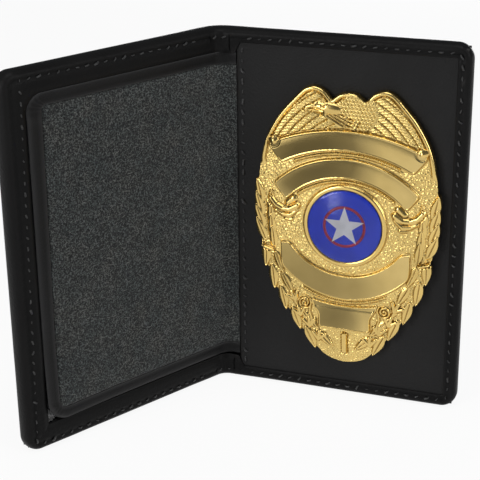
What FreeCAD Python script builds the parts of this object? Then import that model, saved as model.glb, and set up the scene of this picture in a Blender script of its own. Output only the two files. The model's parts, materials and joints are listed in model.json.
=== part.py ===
"""A bifold leather badge wallet that stands open on its lower edges.

Each leaf is drawn as it lies when the wallet is opened flat: x runs along the leaf from the hinge
axis, y runs from the axis to the outer faces, z is up. The leaves are then turned about the axis to
the angle at which the wallet stands. The badge leaf lies towards +x, the card leaf and its flap
towards -x.
"""
import FreeCAD, Part
import math
import os
import re
import Sketcher
from FreeCAD import Vector

SIZES = {
    # Whole wallet, with lengths in millimetres and turns in degrees
    "wallet_height": 106.0,
    "leaf_reach": 68.4,
    "leaf_thick": 6.0,
    "hinge_depth": 8.2,
    "badge_leaf_turn": 19.7,
    "id_leaf_turn": 41.5,
    "spine_clear_turn": 36.0,
    # Cover leather, turned over at the free edges
    "leather": 1.0,
    "corner_radius": 4.5,
    "edge_round": 2.0,
    "back_hem": 3.8,
    "front_hem": 6.6,
    "lining_thick": 0.4,
    "fit_gap": 0.2,
    # Spine strips
    "spine_radius": 9.0,
    "spine_hem": 3.8,
    "spine_hem_thick": 1.4,
    "flap_hinge_thick": 0.8,
    "flap_hinge_radius": 5.0,
    "flap_hinge_tuck": 5.0,
    # Badge panel and its two pin slots
    "panel_start": 3.4,
    "slot_width": 5.0,
    "slot_length": 7.0,
    # Card leaf
    "id_frame_thick": 1.5,
    "window_thick": 0.4,
    # Flap, which lies in the card leaf's frame
    "flap_gap": 0.3,
    "flap_skin": 0.8,
    "flap_board": 0.6,
    "felt_thick": 0.9,
    "flap_start": 1.5,
    "flap_free_margin": 7.2,
    "flap_side_margin": 8.0,
    "flap_corner": 5.0,
    "flap_round": 0.8,
    "flap_border": 3.4,
    # Badge: a struck plate with a domed face, and its relief
    "badge_width": 54.0,
    "badge_height": 81.6,
    "badge_reach": 35.9,
    "badge_rise": 51.4,
    "badge_wall": 1.3,
    "badge_dome": 420.0,
    "badge_relief": 0.7,
    "laurel_relief": 0.45,
    "laurel_length": 7.6,
    "laurel_width": 3.2,
    "laurel_splay": 12.0,
    "laurel_tuck": 1.3,
    "bar_width": 1.4,
    "bar_length": 6.3,
    "bar_drop": 34.5,
    "scroll_radius": 2.0,
    "scroll_reach": 11.6,
    "scroll_drop": 22.8,
    "plaque_width": 18.6,
    "plaque_waist": 15.8,
    "plaque_foot": 15.2,
    "plaque_height": 7.8,
    "plaque_drop": 26.2,
    "top_ribbon_radius": 41.3,
    "top_ribbon_rise": 26.4,
    "top_ribbon_band": 5.8,
    "top_ribbon_span": 20.6,
    "mid_ribbon_radius": 26.2,
    "mid_ribbon_rise": 18.6,
    "mid_ribbon_band": 5.8,
    "mid_ribbon_span": 18.9,
    "low_ribbon_radius": 21.9,
    "low_ribbon_drop": 16.6,
    "low_ribbon_band": 7.4,
    "low_ribbon_span": 17.5,
    # Seal near the middle of the badge
    "seal_rise": 2.0,
    "seal_radius": 10.5,
    "bezel_radius": 12.0,
    "bezel_relief": 0.9,
    "seal_recess": 0.5,
    "seal_fit": 0.05,
    "disc_thick": 0.3,
    "dome_edge": 0.2,
    "dome_crown": 0.5,
    # Pin and catch behind the badge
    "pin_span": 32.0,
    "pin_diameter": 0.9,
    "pin_clear": 0.25,
    "rivet_diameter": 0.8,
    "knuckle_diameter": 1.8,
    "knuckle_width": 1.6,
    "ear_thick": 0.7,
    "ear_width": 2.6,
    "pin_tail": 1.2,
    "pad_thick": 0.5,
    "pad_length": 5.6,
    "catch_bore": 1.3,
    "catch_diameter": 2.5,
    "catch_jaw": 0.9,
    "ring_width": 1.8,
    "ring_tab": 1.7,
    "tab_width": 0.9,
    "running_gap": 0.1,
    "seat_gap": 0.02,
    # Found from the pieces: where the seal and the pin's pads sit, and the axis on the floor
    "seal_seat": 0.0,
    "pad_seat": 0.0,
    "axis_x": 0.0,
    "axis_y": 0.0,
}

doc = FreeCAD.newDocument("BadgeWallet")
sheet = doc.addObject("Spreadsheet::Sheet", "Sizes")
for row, (alias, number) in enumerate(SIZES.items(), 1):
    sheet.set(f"A{row}", alias)
    sheet.set(f"B{row}", str(number))
    sheet.setAlias(f"B{row}", alias)
doc.recompute()


def size(alias):
    """The number in a cell of the sheet."""
    return float(sheet.get(alias))


def bound(text):
    """An expression in which each alias of the sheet is written as the sheet's own cell."""
    return re.sub(r"[a-z_]+", lambda word: f"Sizes.{word[0]}" if word[0] in SIZES else word[0], text)


# Levels from the hinge axis towards the outer face, as expressions
HEM_FACE = "(hinge_depth - leaf_thick)"
HEM_BACK = f"({HEM_FACE} + leather)"
SHEET_IN = "(hinge_depth - leather)"
PANEL_BACK = f"({HEM_BACK} + leather)"
LINING_FACE = f"({SHEET_IN} - lining_thick)"
WINDOW_FACE = f"({HEM_BACK} + id_frame_thick)"
FLAP_BACK = f"({WINDOW_FACE} - flap_gap)"
BOARD_BACK = f"({FLAP_BACK} - flap_skin)"
FELT_BACK = f"({BOARD_BACK} - flap_board)"
FLAP_FACE = f"({FELT_BACK} - flap_skin)"
FELT_FACE = f"({FELT_BACK} - felt_thick)"
INNER_REACH = "(leaf_reach - leather - fit_gap)"
INNER_LOW = "(leather + fit_gap)"
INNER_HIGH = "(wallet_height - leather - fit_gap)"
FLAP_REACH = "(leaf_reach - flap_free_margin)"
FLAP_TOP = "(wallet_height - flap_side_margin)"

sub_parts = []


def place(piece, turn, axis, shift=None):
    """Stands a piece on its leaf: turned about the hinge axis, with its own origin at a shift."""
    piece.Placement = FreeCAD.Placement(Vector(0, 0, 0), FreeCAD.Rotation(axis, 1))
    piece.setExpression("Placement.Rotation.Angle", bound(turn))
    across, along, up = shift or ("0", "0", "0")
    sign = "" if axis.z > 0 else "-"
    swing = bound(f"{sign}{turn} * 1 deg")
    base_x = f"Sizes.axis_x + ({bound(across)}) * cos({swing}) - ({bound(along)}) * sin({swing})"
    base_y = f"Sizes.axis_y + ({bound(across)}) * sin({swing}) + ({bound(along)}) * cos({swing})"
    piece.setExpression("Placement.Base.x", base_x)
    piece.setExpression("Placement.Base.y", base_y)
    piece.setExpression("Placement.Base.z", bound(up))


def on_badge_leaf(piece, shift=None):
    """Puts a piece on the badge leaf, which is turned clockwise seen from above."""
    place(piece, "badge_leaf_turn", Vector(0, 0, -1), shift)
    sub_parts.append(piece)


def on_id_leaf(piece):
    """Puts a piece on the card leaf or its flap, which are turned anticlockwise seen from above."""
    place(piece, "id_leaf_turn", Vector(0, 0, 1))
    sub_parts.append(piece)


def new_body(label):
    """An empty body whose label names the piece."""
    body = doc.addObject("PartDesign::Body", label)
    body.Label = label
    return body


def new_sketch(body, role, level):
    """A sketch on one of the body's own origin planes, moved along that plane's normal."""
    sketch = body.newObject("Sketcher::SketchObject", f"{body.Name}_sketch")
    origin_plane = next(item for item in body.Origin.OriginFeatures if item.Role == role)
    sketch.AttachmentSupport = [(origin_plane, "")]
    sketch.MapMode = "FlatFace"
    sketch.setExpression("AttachmentOffset.Base.z", bound(level))
    return sketch


def fix_point(sketch, line, end, across, up):
    """Ties a point of a sketch to the sketch's origin by two sizes."""
    for kind, text in (("DistanceX", across), ("DistanceY", up)):
        index = sketch.addConstraint(Sketcher.Constraint(kind, -1, 1, line, end, 1.0))
        sketch.setExpression(f"Constraints[{index}]", bound(text))


def polygon(sketch, corners, guess):
    """A closed outline of straight lines whose corners are given as expressions."""
    count = len(corners)
    lines = []
    for number in range(count):
        first = Vector(*guess[number], 0)
        second = Vector(*guess[(number + 1) % count], 0)
        lines.append(sketch.addGeometry(Part.LineSegment(first, second), False))
    for number, line in enumerate(lines):
        following = lines[(number + 1) % count]
        sketch.addConstraint(Sketcher.Constraint("Coincident", line, 2, following, 1))
    for line, (across, up) in zip(lines, corners):
        fix_point(sketch, line, 1, across, up)


def rectangle(sketch, across, up):
    """A rectangle between two pairs of expressions."""
    corners = [(across[0], up[0]), (across[1], up[0]), (across[1], up[1]), (across[0], up[1])]
    polygon(sketch, corners, [(0, 0), (1, 0), (1, 1), (0, 1)])


def pad(body, sketch, length):
    """Raises a sketch along its plane's normal."""
    feature = body.newObject("PartDesign::Pad", f"{body.Name}_pad")
    feature.Profile = sketch
    feature.setExpression("Length", bound(length))
    doc.recompute()


def pocket(body, sketch, length, along_normal=False):
    """Cuts a sketch into the body and makes sure that something was cut away."""
    before = body.Shape.Volume
    feature = body.newObject("PartDesign::Pocket", f"{body.Name}_pocket")
    feature.Profile = sketch
    feature.Reversed = along_normal
    feature.setExpression("Length", bound(length))
    doc.recompute()
    if body.Shape.Volume >= before:
        raise RuntimeError(f"{body.Label}: a pocket cut nothing")


def dress(body, kind, measure, chosen, amount):
    """Rounds or bevels the edges of the body's last feature that pass a test."""
    base = body.Tip
    names = [f"Edge{n}" for n, edge in enumerate(base.Shape.Edges, 1) if chosen(edge)]
    feature = body.newObject(f"PartDesign::{kind}", f"{body.Name}_{kind.lower()}")
    feature.Base = (base, names)
    feature.setExpression(measure, bound(amount))
    doc.recompute()


def fillet(body, chosen, radius):
    """Rounds the edges of the body's last feature that pass a test."""
    dress(body, "Fillet", "Radius", chosen, radius)


def sheet_piece(label, across, depth, up):
    """A flat sheet cut to a rectangle of the leaf's plane, with its thickness along y."""
    body = new_body(label)
    sketch = new_sketch(body, "XZ_Plane", f"-{depth[1]}")
    rectangle(sketch, across, up)
    pad(body, sketch, f"{depth[1]} - {depth[0]}")
    return body


def cut_through(body, across, depth, up):
    """Cuts a rectangular opening through a stretch of a piece's thickness."""
    sketch = new_sketch(body, "XZ_Plane", f"-{depth[0]}")
    rectangle(sketch, across, up)
    pocket(body, sketch, f"{depth[1]} - {depth[0]}")


def is_corner(edge, reach):
    """Whether an edge runs along y at the free side of a leaf."""
    box = edge.BoundBox
    flat = box.XLength < 0.01 and box.ZLength < 0.01
    return flat and abs(abs(box.XMin) - reach) < 0.01


def is_rim(edge, level, root):
    """Whether an edge lies in one face of a leaf and not on its spine side."""
    box = edge.BoundBox
    in_face = box.YLength < 0.01 and abs(box.YMin - level) < 0.01
    on_root = box.XLength < 0.01 and abs(abs(box.XMin) - root) < 0.01
    return in_face and not on_root


def turned_cover(label, side, hem):
    """A leaf's cover: an outer sheet turned over at its three free edges to a hem on the inside."""
    body = new_body(label)
    slab = new_sketch(body, "XY_Plane", "0")
    slope = "tan(spine_clear_turn * 1 deg)"
    inner_root = f"{side} * {HEM_FACE} * {slope}"
    outer_root = f"{side} * hinge_depth * {slope}"
    free = f"{side} * leaf_reach"
    corners = [(inner_root, HEM_FACE), (free, HEM_FACE), (free, "hinge_depth"), (outer_root, "hinge_depth")]
    polygon(slab, corners, [(side, 2), (side * 9, 2), (side * 9, 8), (side * 5, 8)])
    pad(body, slab, "wallet_height")
    fillet(body, lambda edge: is_corner(edge, size("leaf_reach")), "corner_radius")
    face = size("hinge_depth") - size("leaf_thick")
    steep = math.tan(math.radians(size("spine_clear_turn")))
    fillet(body, lambda edge: is_rim(edge, face, face * steep)
           or is_rim(edge, size("hinge_depth"), size("hinge_depth") * steep), "edge_round")
    cut_through(body, ("0", f"{side} * (leaf_reach - leather)"), (HEM_BACK, SHEET_IN),
                ("leather", "wallet_height - leather"))
    cut_through(body, ("0", f"{side} * (leaf_reach - {hem})"), (HEM_FACE, HEM_BACK),
                (hem, f"wallet_height - {hem}"))
    return body


def inner_sheet(label, side, start, depth):
    """A sheet that fills a cover's inside from the spine to the turned edges."""
    across = (f"{side} * ({start})", f"{side} * {INNER_REACH}")
    body = sheet_piece(label, across, depth, (INNER_LOW, INNER_HIGH))
    reach = size("leaf_reach") - size("leather") - size("fit_gap")
    fillet(body, lambda edge: is_corner(edge, reach), "corner_radius - leather")
    return body


def root_of(level):
    """Where a leaf's piece starts, clear of the spine, at a level behind the hinge axis."""
    return f"({level} * tan(spine_clear_turn * 1 deg) + fit_gap)"


# Badge leaf: cover, pocket lining and the panel that carries the badge
on_badge_leaf(turned_cover("back_cover", 1, "back_hem"))
on_badge_leaf(inner_sheet("back_lining", 1, root_of(SHEET_IN), (LINING_FACE, SHEET_IN)))
badge_panel = inner_sheet("badge_panel", 1, "panel_start", (HEM_BACK, PANEL_BACK))
for end in ("+", "-"):
    middle = f"(badge_rise {end} pin_span / 2)"
    cut_through(badge_panel, ("badge_reach - slot_width / 2", "badge_reach + slot_width / 2"),
                (HEM_BACK, PANEL_BACK), (f"{middle} - slot_length / 2", f"{middle} + slot_length / 2"))
on_badge_leaf(badge_panel)

# Card leaf: cover, leather frame, clear window and the pocket's lining
on_id_leaf(turned_cover("front_cover", -1, "front_hem"))
id_frame = inner_sheet("id_frame", -1, root_of(WINDOW_FACE), (HEM_BACK, WINDOW_FACE))
cut_through(id_frame, ("0", "-(leaf_reach - front_hem)"), (HEM_BACK, WINDOW_FACE),
            ("front_hem", "wallet_height - front_hem"))
on_id_leaf(id_frame)
WINDOW_BACK = f"({WINDOW_FACE} + window_thick)"
on_id_leaf(inner_sheet("id_window", -1, root_of(WINDOW_BACK), (WINDOW_FACE, WINDOW_BACK)))
on_id_leaf(inner_sheet("id_pocket_lining", -1, root_of(SHEET_IN), (LINING_FACE, SHEET_IN)))

# Flap: a leather back turned over a stiff board, with felt inside the turned border
flap_leather = sheet_piece("flap_leather", ("-flap_start", f"-{FLAP_REACH}"), (FLAP_FACE, FLAP_BACK),
                           ("flap_side_margin", FLAP_TOP))
flap_reach = size("leaf_reach") - size("flap_free_margin")
fillet(flap_leather, lambda edge: is_corner(edge, flap_reach), "flap_corner")
flap_back = (size("hinge_depth") - size("leaf_thick") + size("leather") + size("id_frame_thick")
             - size("flap_gap"))
flap_face = flap_back - 2 * size("flap_skin") - size("flap_board")
fillet(flap_leather, lambda edge: is_rim(edge, flap_face, size("flap_start"))
       or is_rim(edge, flap_back, size("flap_start")), "flap_round")
cut_through(flap_leather, ("0", f"-({FLAP_REACH} - flap_skin)"), (FELT_BACK, BOARD_BACK),
            ("flap_side_margin + flap_skin", f"{FLAP_TOP} - flap_skin"))
cut_through(flap_leather, ("0", f"-({FLAP_REACH} - flap_border)"), (FLAP_FACE, FELT_BACK),
            ("flap_side_margin + flap_border", f"{FLAP_TOP} - flap_border"))
on_id_leaf(flap_leather)
on_id_leaf(sheet_piece("flap_board", ("-flap_start", f"-({FLAP_REACH} - flap_skin - fit_gap)"),
                       (FELT_BACK, BOARD_BACK),
                       ("flap_side_margin + flap_skin + fit_gap", f"{FLAP_TOP} - flap_skin - fit_gap")))
on_id_leaf(sheet_piece("flap_felt", ("-flap_start", f"-({FLAP_REACH} - flap_border - fit_gap)"),
                       (FELT_FACE, FELT_BACK),
                       ("flap_side_margin + flap_border + fit_gap",
                        f"{FLAP_TOP} - flap_border - fit_gap")))


def set_size(alias, number):
    """Writes a number that was found from the pieces into its cell."""
    sheet.set(sheet.getCellFromAlias(alias), str(number))
    doc.recompute()


def solid_piece(label, shape):
    """A piece whose form is worked out from the sheet's sizes."""
    piece = doc.addObject("Part::Feature", label)
    piece.Label = label
    piece.Shape = shape
    return piece


# Spine: directions along each leaf and out of its back, with the wallet standing open
badge_turn = math.radians(size("badge_leaf_turn"))
id_turn = math.radians(size("id_leaf_turn"))
badge_along = Vector(math.cos(badge_turn), -math.sin(badge_turn), 0)
badge_out = Vector(math.sin(badge_turn), math.cos(badge_turn), 0)
id_along = Vector(-math.cos(id_turn), -math.sin(id_turn), 0)
id_out = Vector(-math.sin(id_turn), math.cos(id_turn), 0)
half_bend = (badge_turn + id_turn) / 2
steep = math.tan(math.radians(size("spine_clear_turn")))


def bend_edges(start, level, finish, other_level, radius):
    """A line along the badge leaf, a tangent arc and a line along the card leaf."""
    first = badge_along * start + badge_out * level
    last = id_along * finish + id_out * other_level
    across = badge_along.cross(id_along).z
    travel = (last - first).cross(id_along).z / across
    corner = first + badge_along * travel
    tangent = radius * math.tan(half_bend)
    leave = corner + badge_along * tangent
    arrive = corner + id_along * tangent
    toward = (badge_along + id_along).normalize()
    crown = corner + toward * radius * (1 / math.cos(half_bend) - 1)
    return [Part.LineSegment(first, leave).toShape(), Part.Arc(leave, crown, arrive).toShape(),
            Part.LineSegment(arrive, last).toShape()]


def bent_strip(outer, inner, low, high):
    """A strip between two bent lines, raised from one height to another."""
    outside = bend_edges(*outer)
    inside = bend_edges(*inner)
    caps = [Part.LineSegment(outside[0].firstVertex().Point, inside[0].firstVertex().Point).toShape(),
            Part.LineSegment(outside[2].lastVertex().Point, inside[2].lastVertex().Point).toShape()]
    face = Part.Face(Part.Wire(Part.__sortEdges__(outside + inside + caps)))
    strip = face.extrude(Vector(0, 0, high - low))
    strip.translate(Vector(0, 0, low))
    return strip


def spine_strip(depth, thick, low, high):
    """A strip round the spine at a depth under the outer face, slanted where it meets the covers."""
    level = size("hinge_depth") - depth
    radius = size("spine_radius") - depth
    lines = []
    for inset in (0, thick):
        root = (level - inset) * steep - size("fit_gap") / 2
        lines.append((root, level - inset, root, level - inset, radius - inset))
    return bent_strip(*lines, low, high)


def on_spine(piece):
    """Stands a piece that is already bent round the hinge axis."""
    for letter in "xy":
        piece.setExpression(f"Placement.Base.{letter}", f"Sizes.axis_{letter}")
    sub_parts.append(piece)


height = size("wallet_height")
leather = size("leather")
hem = size("spine_hem")
spine_hems = [spine_strip(leather, size("spine_hem_thick"), low, low + hem) for low in (0, height - hem)]
spine_skin = spine_strip(0, leather, 0, height)
on_spine(solid_piece("spine_leather", spine_skin.fuse(spine_hems).removeSplitter()))
lining_inset = hem + size("fit_gap")
on_spine(solid_piece("spine_lining", spine_strip(leather, size("lining_thick"), lining_inset,
                                                 height - lining_inset)))

# The flap's leather runs on round the inside of the spine and is sewn under the panel's edge
panel_back = size("hinge_depth") - size("leaf_thick") + 2 * leather
hinge_thick = size("flap_hinge_thick")
tuck = size("panel_start") + size("flap_hinge_tuck")
hinge_start = size("flap_start") - size("fit_gap") / 2
hinge_outer = (tuck, panel_back + hinge_thick, hinge_start, flap_back,
               size("flap_hinge_radius") + hinge_thick)
hinge_inner = (tuck, panel_back, hinge_start, flap_back - hinge_thick, size("flap_hinge_radius"))
on_spine(solid_piece("flap_hinge", bent_strip(hinge_outer, hinge_inner, size("flap_side_margin"),
                                              height - size("flap_side_margin"))))

# Badge outline, as shares of its half width and half height
HEAD_ARC = [(-0.174, 0.919), (0.0, 0.973), (0.174, 0.919)]
WING_ARC = [(0.174, 0.919), (0.367, 1.0), (0.53, 0.94)]
SIDE_CURVE = [(0.53, 0.94), (0.719, 0.794), (0.859, 0.625), (0.919, 0.446), (0.945, 0.2), (0.925, -0.05),
              (0.85, -0.29), (0.71, -0.52), (0.50, -0.74), (0.30, -0.905), (0.205, -0.963),
              (0.1, -0.99), (0.0, -1.0)]
WING_TOP = [(0.2, 0.87), (0.37, 0.955), (0.54, 0.875), (0.70, 0.74), (0.80, 0.65)]
WING_FOOT = [(0.80, 0.65), (0.48, 0.745), (0.2, 0.80)]
# Leaves up and down from the wreath's tie: how many, first and last place along the side, and direction
LAURELS = [(4, 0.385, 0.51, -1), (5, 0.514, 0.82, 1)]
# Points looked at along each edge of the badge to find its lowest rim point
RIM_POINTS = 9
# One side of a laurel leaf, as shares of its length and half width
LAUREL_SIDE = [(0.0, 0.0), (0.25, 0.75), (0.5, 1.0), (0.8, 0.6), (1.0, 0.0)]
half_width = size("badge_width") / 2
half_height = size("badge_height") / 2
dome_radius = size("badge_dome")
wall = size("badge_wall")
bar_front = half_height
bar_depth = 2 * half_height


def on_face(share, mirror=1):
    """A point of the badge's flat drawing, from its shares of the half width and half height."""
    return Vector(mirror * share[0] * half_width, 0, share[1] * half_height)


def smooth(points):
    """A smooth curve through points."""
    curve = Part.BSplineCurve()
    curve.interpolate(points)
    return curve


def dip(across, up):
    """How far the badge's curved back falls away from its middle, at a place on it."""
    back_radius = dome_radius - wall
    return back_radius - math.sqrt(back_radius ** 2 - across ** 2 - up ** 2)


def prism(edges):
    """A long bar along y on a closed outline."""
    face = Part.Face(Part.Wire(Part.__sortEdges__(edges)))
    bar = face.extrude(Vector(0, bar_depth, 0))
    bar.translate(Vector(0, -bar_front, 0))
    return bar


def arc(first, middle, last):
    """The arc through three points."""
    return Part.Arc(first, middle, last).toShape()


def ring_sector(radius, mid_rise, band, span, sign):
    """A ribbon: a band of a ring that arches up (sign 1) or hangs down (sign -1)."""
    centre = mid_rise - sign * radius
    edges = []
    tips = []
    for edge_radius in (radius - band / 2, radius + band / 2):
        turn = math.asin(span / radius)
        ends = [Vector(side * edge_radius * math.sin(turn), 0,
                       centre + sign * edge_radius * math.cos(turn)) for side in (-1, 1)]
        edges.append(arc(ends[0], Vector(0, 0, centre + sign * edge_radius), ends[1]))
        tips.append(ends)
    edges += [Part.LineSegment(tips[0][side], tips[1][side]).toShape() for side in (0, 1)]
    return prism(edges)


def laurel(curve, share, direction, mirror):
    """One leaf of the wreath: a lens whose tip stands outside the badge's edge."""
    place_on = curve.parameterAtDistance(share * curve.length(), curve.FirstParameter)
    root = curve.value(place_on)
    downward = curve.tangent(place_on)[0]
    splay = math.radians(size("laurel_splay"))
    outward = Vector(-downward.z, 0, downward.x)
    along = downward * (direction * math.cos(splay)) + outward * math.sin(splay)
    side = Vector(along.z, 0, -along.x) * (size("laurel_width") / 2)
    base = root - outward * size("laurel_tuck")
    other_side = [(share, -wide) for share, wide in LAUREL_SIDE[::-1]]
    flip = FreeCAD.Matrix()
    flip.scale(mirror, 1, 1)
    points = [flip.multVec(base + along * (share * size("laurel_length")) + side * wide)
              for share, wide in LAUREL_SIDE + other_side[1:]]
    return prism(Part.makePolygon(points).Edges)


def plaque():
    """The number panel, wider at its top than at its foot."""
    half_long = {1: size("plaque_width") / 2, -1: size("plaque_foot") / 2}
    half_tall = size("plaque_height") / 2
    waist = size("plaque_waist") / 2
    level = -size("plaque_drop")
    corner = {(x, z): Vector(x * half_long[z], 0, level + z * half_tall) for x in (-1, 1) for z in (-1, 1)}
    edges = [Part.LineSegment(corner[-1, z], corner[1, z]).toShape() for z in (-1, 1)]
    edges += [arc(corner[x, -1], Vector(x * waist, 0, level), corner[x, 1]) for x in (-1, 1)]
    return prism(edges)


def disc(radius, across, level):
    """A round bar along y."""
    return Part.makeCylinder(radius, bar_depth, Vector(across, -bar_front, level), Vector(0, 1, 0))


def wing(mirror):
    """One raised wing along the badge's top edge."""
    top = smooth([on_face(share, mirror) for share in WING_TOP])
    foot = smooth([on_face(share, mirror) for share in WING_FOOT])
    root = Part.LineSegment(on_face(WING_FOOT[-1], mirror), on_face(WING_TOP[0], mirror))
    return prism([top.toShape(), foot.toShape(), root.toShape()])


def behind_face(raise_by, front):
    """The body behind the badge's curved face, raised by a relief."""
    return Part.makeSphere(dome_radius + raise_by, Vector(0, front + dome_radius, 0))


side_curve = smooth([on_face(share) for share in SIDE_CURVE])
mirror_curve = smooth([on_face(share, -1) for share in SIDE_CURVE])
outline = [arc(*[on_face(share) for share in HEAD_ARC])]
outline += [arc(*[on_face(share, mirror) for share in WING_ARC]) for mirror in (-1, 1)]
outline += [side_curve.toShape(), mirror_curve.toShape()]
leaf_places = [(first + (last - first) * n / (count - 1), direction)
               for count, first, last, direction in LAURELS for n in range(count)]
laurels = [laurel(side_curve, *place, mirror) for place in leaf_places for mirror in (-1, 1)]
plate = prism(outline)

# The badge's lowest rim point rests on the panel
panel_face = size("hinge_depth") - size("leaf_thick") + leather
rim_edges = [edge for bar in laurels + [plate] for edge in bar.Edges]
rim = [point for edge in rim_edges for point in edge.discretize(Number=RIM_POINTS)]
deepest = max(dip(point.x, point.z) for point in rim)
badge_back = panel_face - deepest
badge_front = badge_back - wall
seal_seat = badge_front - size("bezel_relief") + size("seal_recess")
set_size("seal_seat", seal_seat)

seal_level = size("seal_rise")
bezel = disc(size("bezel_radius"), 0, seal_level)
ribbons = [ring_sector(*[size(f"{name}_ribbon_{kind}") for kind in ("radius", "rise", "band", "span")], 1)
           for name in ("top", "mid")]
ribbons.append(ring_sector(size("low_ribbon_radius"), -size("low_ribbon_drop"), size("low_ribbon_band"),
                           size("low_ribbon_span"), -1))
scroll_level = -size("scroll_drop")
scrolls = [disc(size("scroll_radius"), side * size("scroll_reach"), scroll_level) for side in (-1, 1)]
bar_half = size("bar_width") / 2
bar_foot = -size("bar_drop") - size("bar_length") / 2
bar_box = Part.makeBox(2 * bar_half, bar_depth, size("bar_length"), Vector(-bar_half, -bar_front, bar_foot))
raised = ribbons + scrolls + [plaque(), bar_box]
low_relief = laurels + [wing(-1), wing(1)]
levels = [
    plate.common(behind_face(0, badge_front)),
    low_relief[0].fuse(low_relief[1:]).common(behind_face(size("laurel_relief"), badge_front)),
    raised[0].fuse(raised[1:]).common(behind_face(size("badge_relief"), badge_front)),
    bezel.common(behind_face(size("bezel_relief"), badge_front)),
]
struck = levels[0].fuse(levels[1:]).cut(behind_face(-wall, badge_front))
recess_floor = Vector(0, seal_seat, seal_level)
recess = Part.makeCylinder(size("seal_radius"), bar_front, recess_floor, Vector(0, -1, 0))
on_badge_leaf(solid_piece("badge_shield", struck.cut(recess)), ("badge_reach", "0", "badge_rise"))


def circle(sketch, across, up, diameter):
    """A circle of a sketch, with its centre and diameter given as expressions."""
    index = sketch.addGeometry(Part.Circle(Vector(0, 0, 0), Vector(0, 0, 1), 1.0), False)
    fix_point(sketch, index, 3, across, up)
    tie = sketch.addConstraint(Sketcher.Constraint("Diameter", index, 2.0))
    sketch.setExpression(f"Constraints[{tie}]", bound(diameter))


def add_block(body, across, depth, up):
    """Adds a block to a body, or starts the body with it."""
    sketch = new_sketch(body, "XZ_Plane", f"-({depth[1]})")
    rectangle(sketch, across, up)
    pad(body, sketch, f"({depth[1]}) - ({depth[0]})")


def add_bar(body, role, start, length, across, up, diameter):
    """Adds a round bar to a body along one of its axes, or starts the body with it."""
    sketch = new_sketch(body, role, start)
    circle(sketch, across, up, diameter)
    pad(body, sketch, length)


def cut_bore(body, role, start, length, across, up, diameter):
    """Cuts a round bore into a body along one of its axes."""
    sketch = new_sketch(body, role, start)
    circle(sketch, across, up, diameter)
    pocket(body, sketch, length, True)


def cut_slot(body, start, length, across, up):
    """Cuts an upright slot that is a rectangle seen from above."""
    sketch = new_sketch(body, "XY_Plane", start)
    rectangle(sketch, across, up)
    pocket(body, sketch, length, True)


# Seal: a coloured disc in the bezel, under a clear dome
SEAL_DIAMETER = "(2 * (seal_radius - seal_fit))"
seal_disc = new_body("seal_disc")
add_bar(seal_disc, "XZ_Plane", "0", "disc_thick", "0", "0", SEAL_DIAMETER)
on_badge_leaf(seal_disc, ("badge_reach", "seal_seat", "badge_rise + seal_rise"))

# The dome is a round plate cut to a large ball
dome_plate = doc.addObject("Part::Cylinder", "dome_plate")
dome_plate.Placement = FreeCAD.Placement(Vector(0, 0, 0), FreeCAD.Rotation(Vector(1, 0, 0), 90))
dome_plate.setExpression("Radius", bound(f"{SEAL_DIAMETER} / 2"))
dome_plate.setExpression("Height", bound("dome_edge + dome_crown"))
BALL_RADIUS = f"(({SEAL_DIAMETER} / 2) ^ 2 + dome_crown ^ 2) / (2 * dome_crown)"
dome_ball = doc.addObject("Part::Sphere", "dome_ball")
dome_ball.setExpression("Radius", bound(BALL_RADIUS))
dome_ball.setExpression("Placement.Base.y", bound(f"{BALL_RADIUS} - dome_edge - dome_crown"))
seal_dome = doc.addObject("Part::Common", "seal_dome")
seal_dome.Label = "seal_dome"
seal_dome.Base = dome_plate
seal_dome.Tool = dome_ball
doc.recompute()
on_badge_leaf(seal_dome, ("badge_reach", "seal_seat - disc_thick", "badge_rise + seal_rise"))

# Pin behind the panel, drawn about its own axis and level with the badge's middle
PIN_LEVEL = f"({PANEL_BACK} + pin_clear + pin_diameter / 2)"
PAD_FACE = f"(pad_seat - {PIN_LEVEL})"
PAD_BACK = f"({PAD_FACE} + pad_thick)"
PAD_HALF = "(knuckle_width / 2 + running_gap + ear_thick)"
JOINT = "(pin_span / 2)"
CATCH = "(-pin_span / 2)"
pad_half = size("knuckle_width") / 2 + size("running_gap") + size("ear_thick")
pad_reach = (size("pin_span") + size("pad_length")) / 2
set_size("pad_seat", badge_back + dip(pad_half, pad_reach) + size("seat_gap"))
pin_place = ("badge_reach", PIN_LEVEL, "badge_rise")


def pin_pad(label, middle):
    """A body that starts with a flat pad on the badge's back."""
    body = new_body(label)
    add_block(body, (f"-{PAD_HALF}", PAD_HALF), (PAD_FACE, PAD_BACK),
              (f"{middle} - pad_length / 2", f"{middle} + pad_length / 2"))
    return body


pin_joint = pin_pad("pin_joint", JOINT)
EAR_INSIDE = "(knuckle_width / 2 + running_gap)"
for ear in ((f"-{PAD_HALF}", f"-{EAR_INSIDE}"), (EAR_INSIDE, PAD_HALF)):
    add_block(pin_joint, ear, (PAD_FACE, "knuckle_diameter / 2"),
              (f"{JOINT} - ear_width / 2", f"{JOINT} + ear_width / 2"))
cut_bore(pin_joint, "YZ_Plane", f"-{PAD_HALF}", f"2 * {PAD_HALF}", "0", JOINT, "rivet_diameter")
on_badge_leaf(pin_joint, pin_place)

pin_rivet = new_body("pin_rivet")
add_bar(pin_rivet, "YZ_Plane", f"-{PAD_HALF}", f"2 * {PAD_HALF}", "0", JOINT, "rivet_diameter")
on_badge_leaf(pin_rivet, pin_place)

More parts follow.
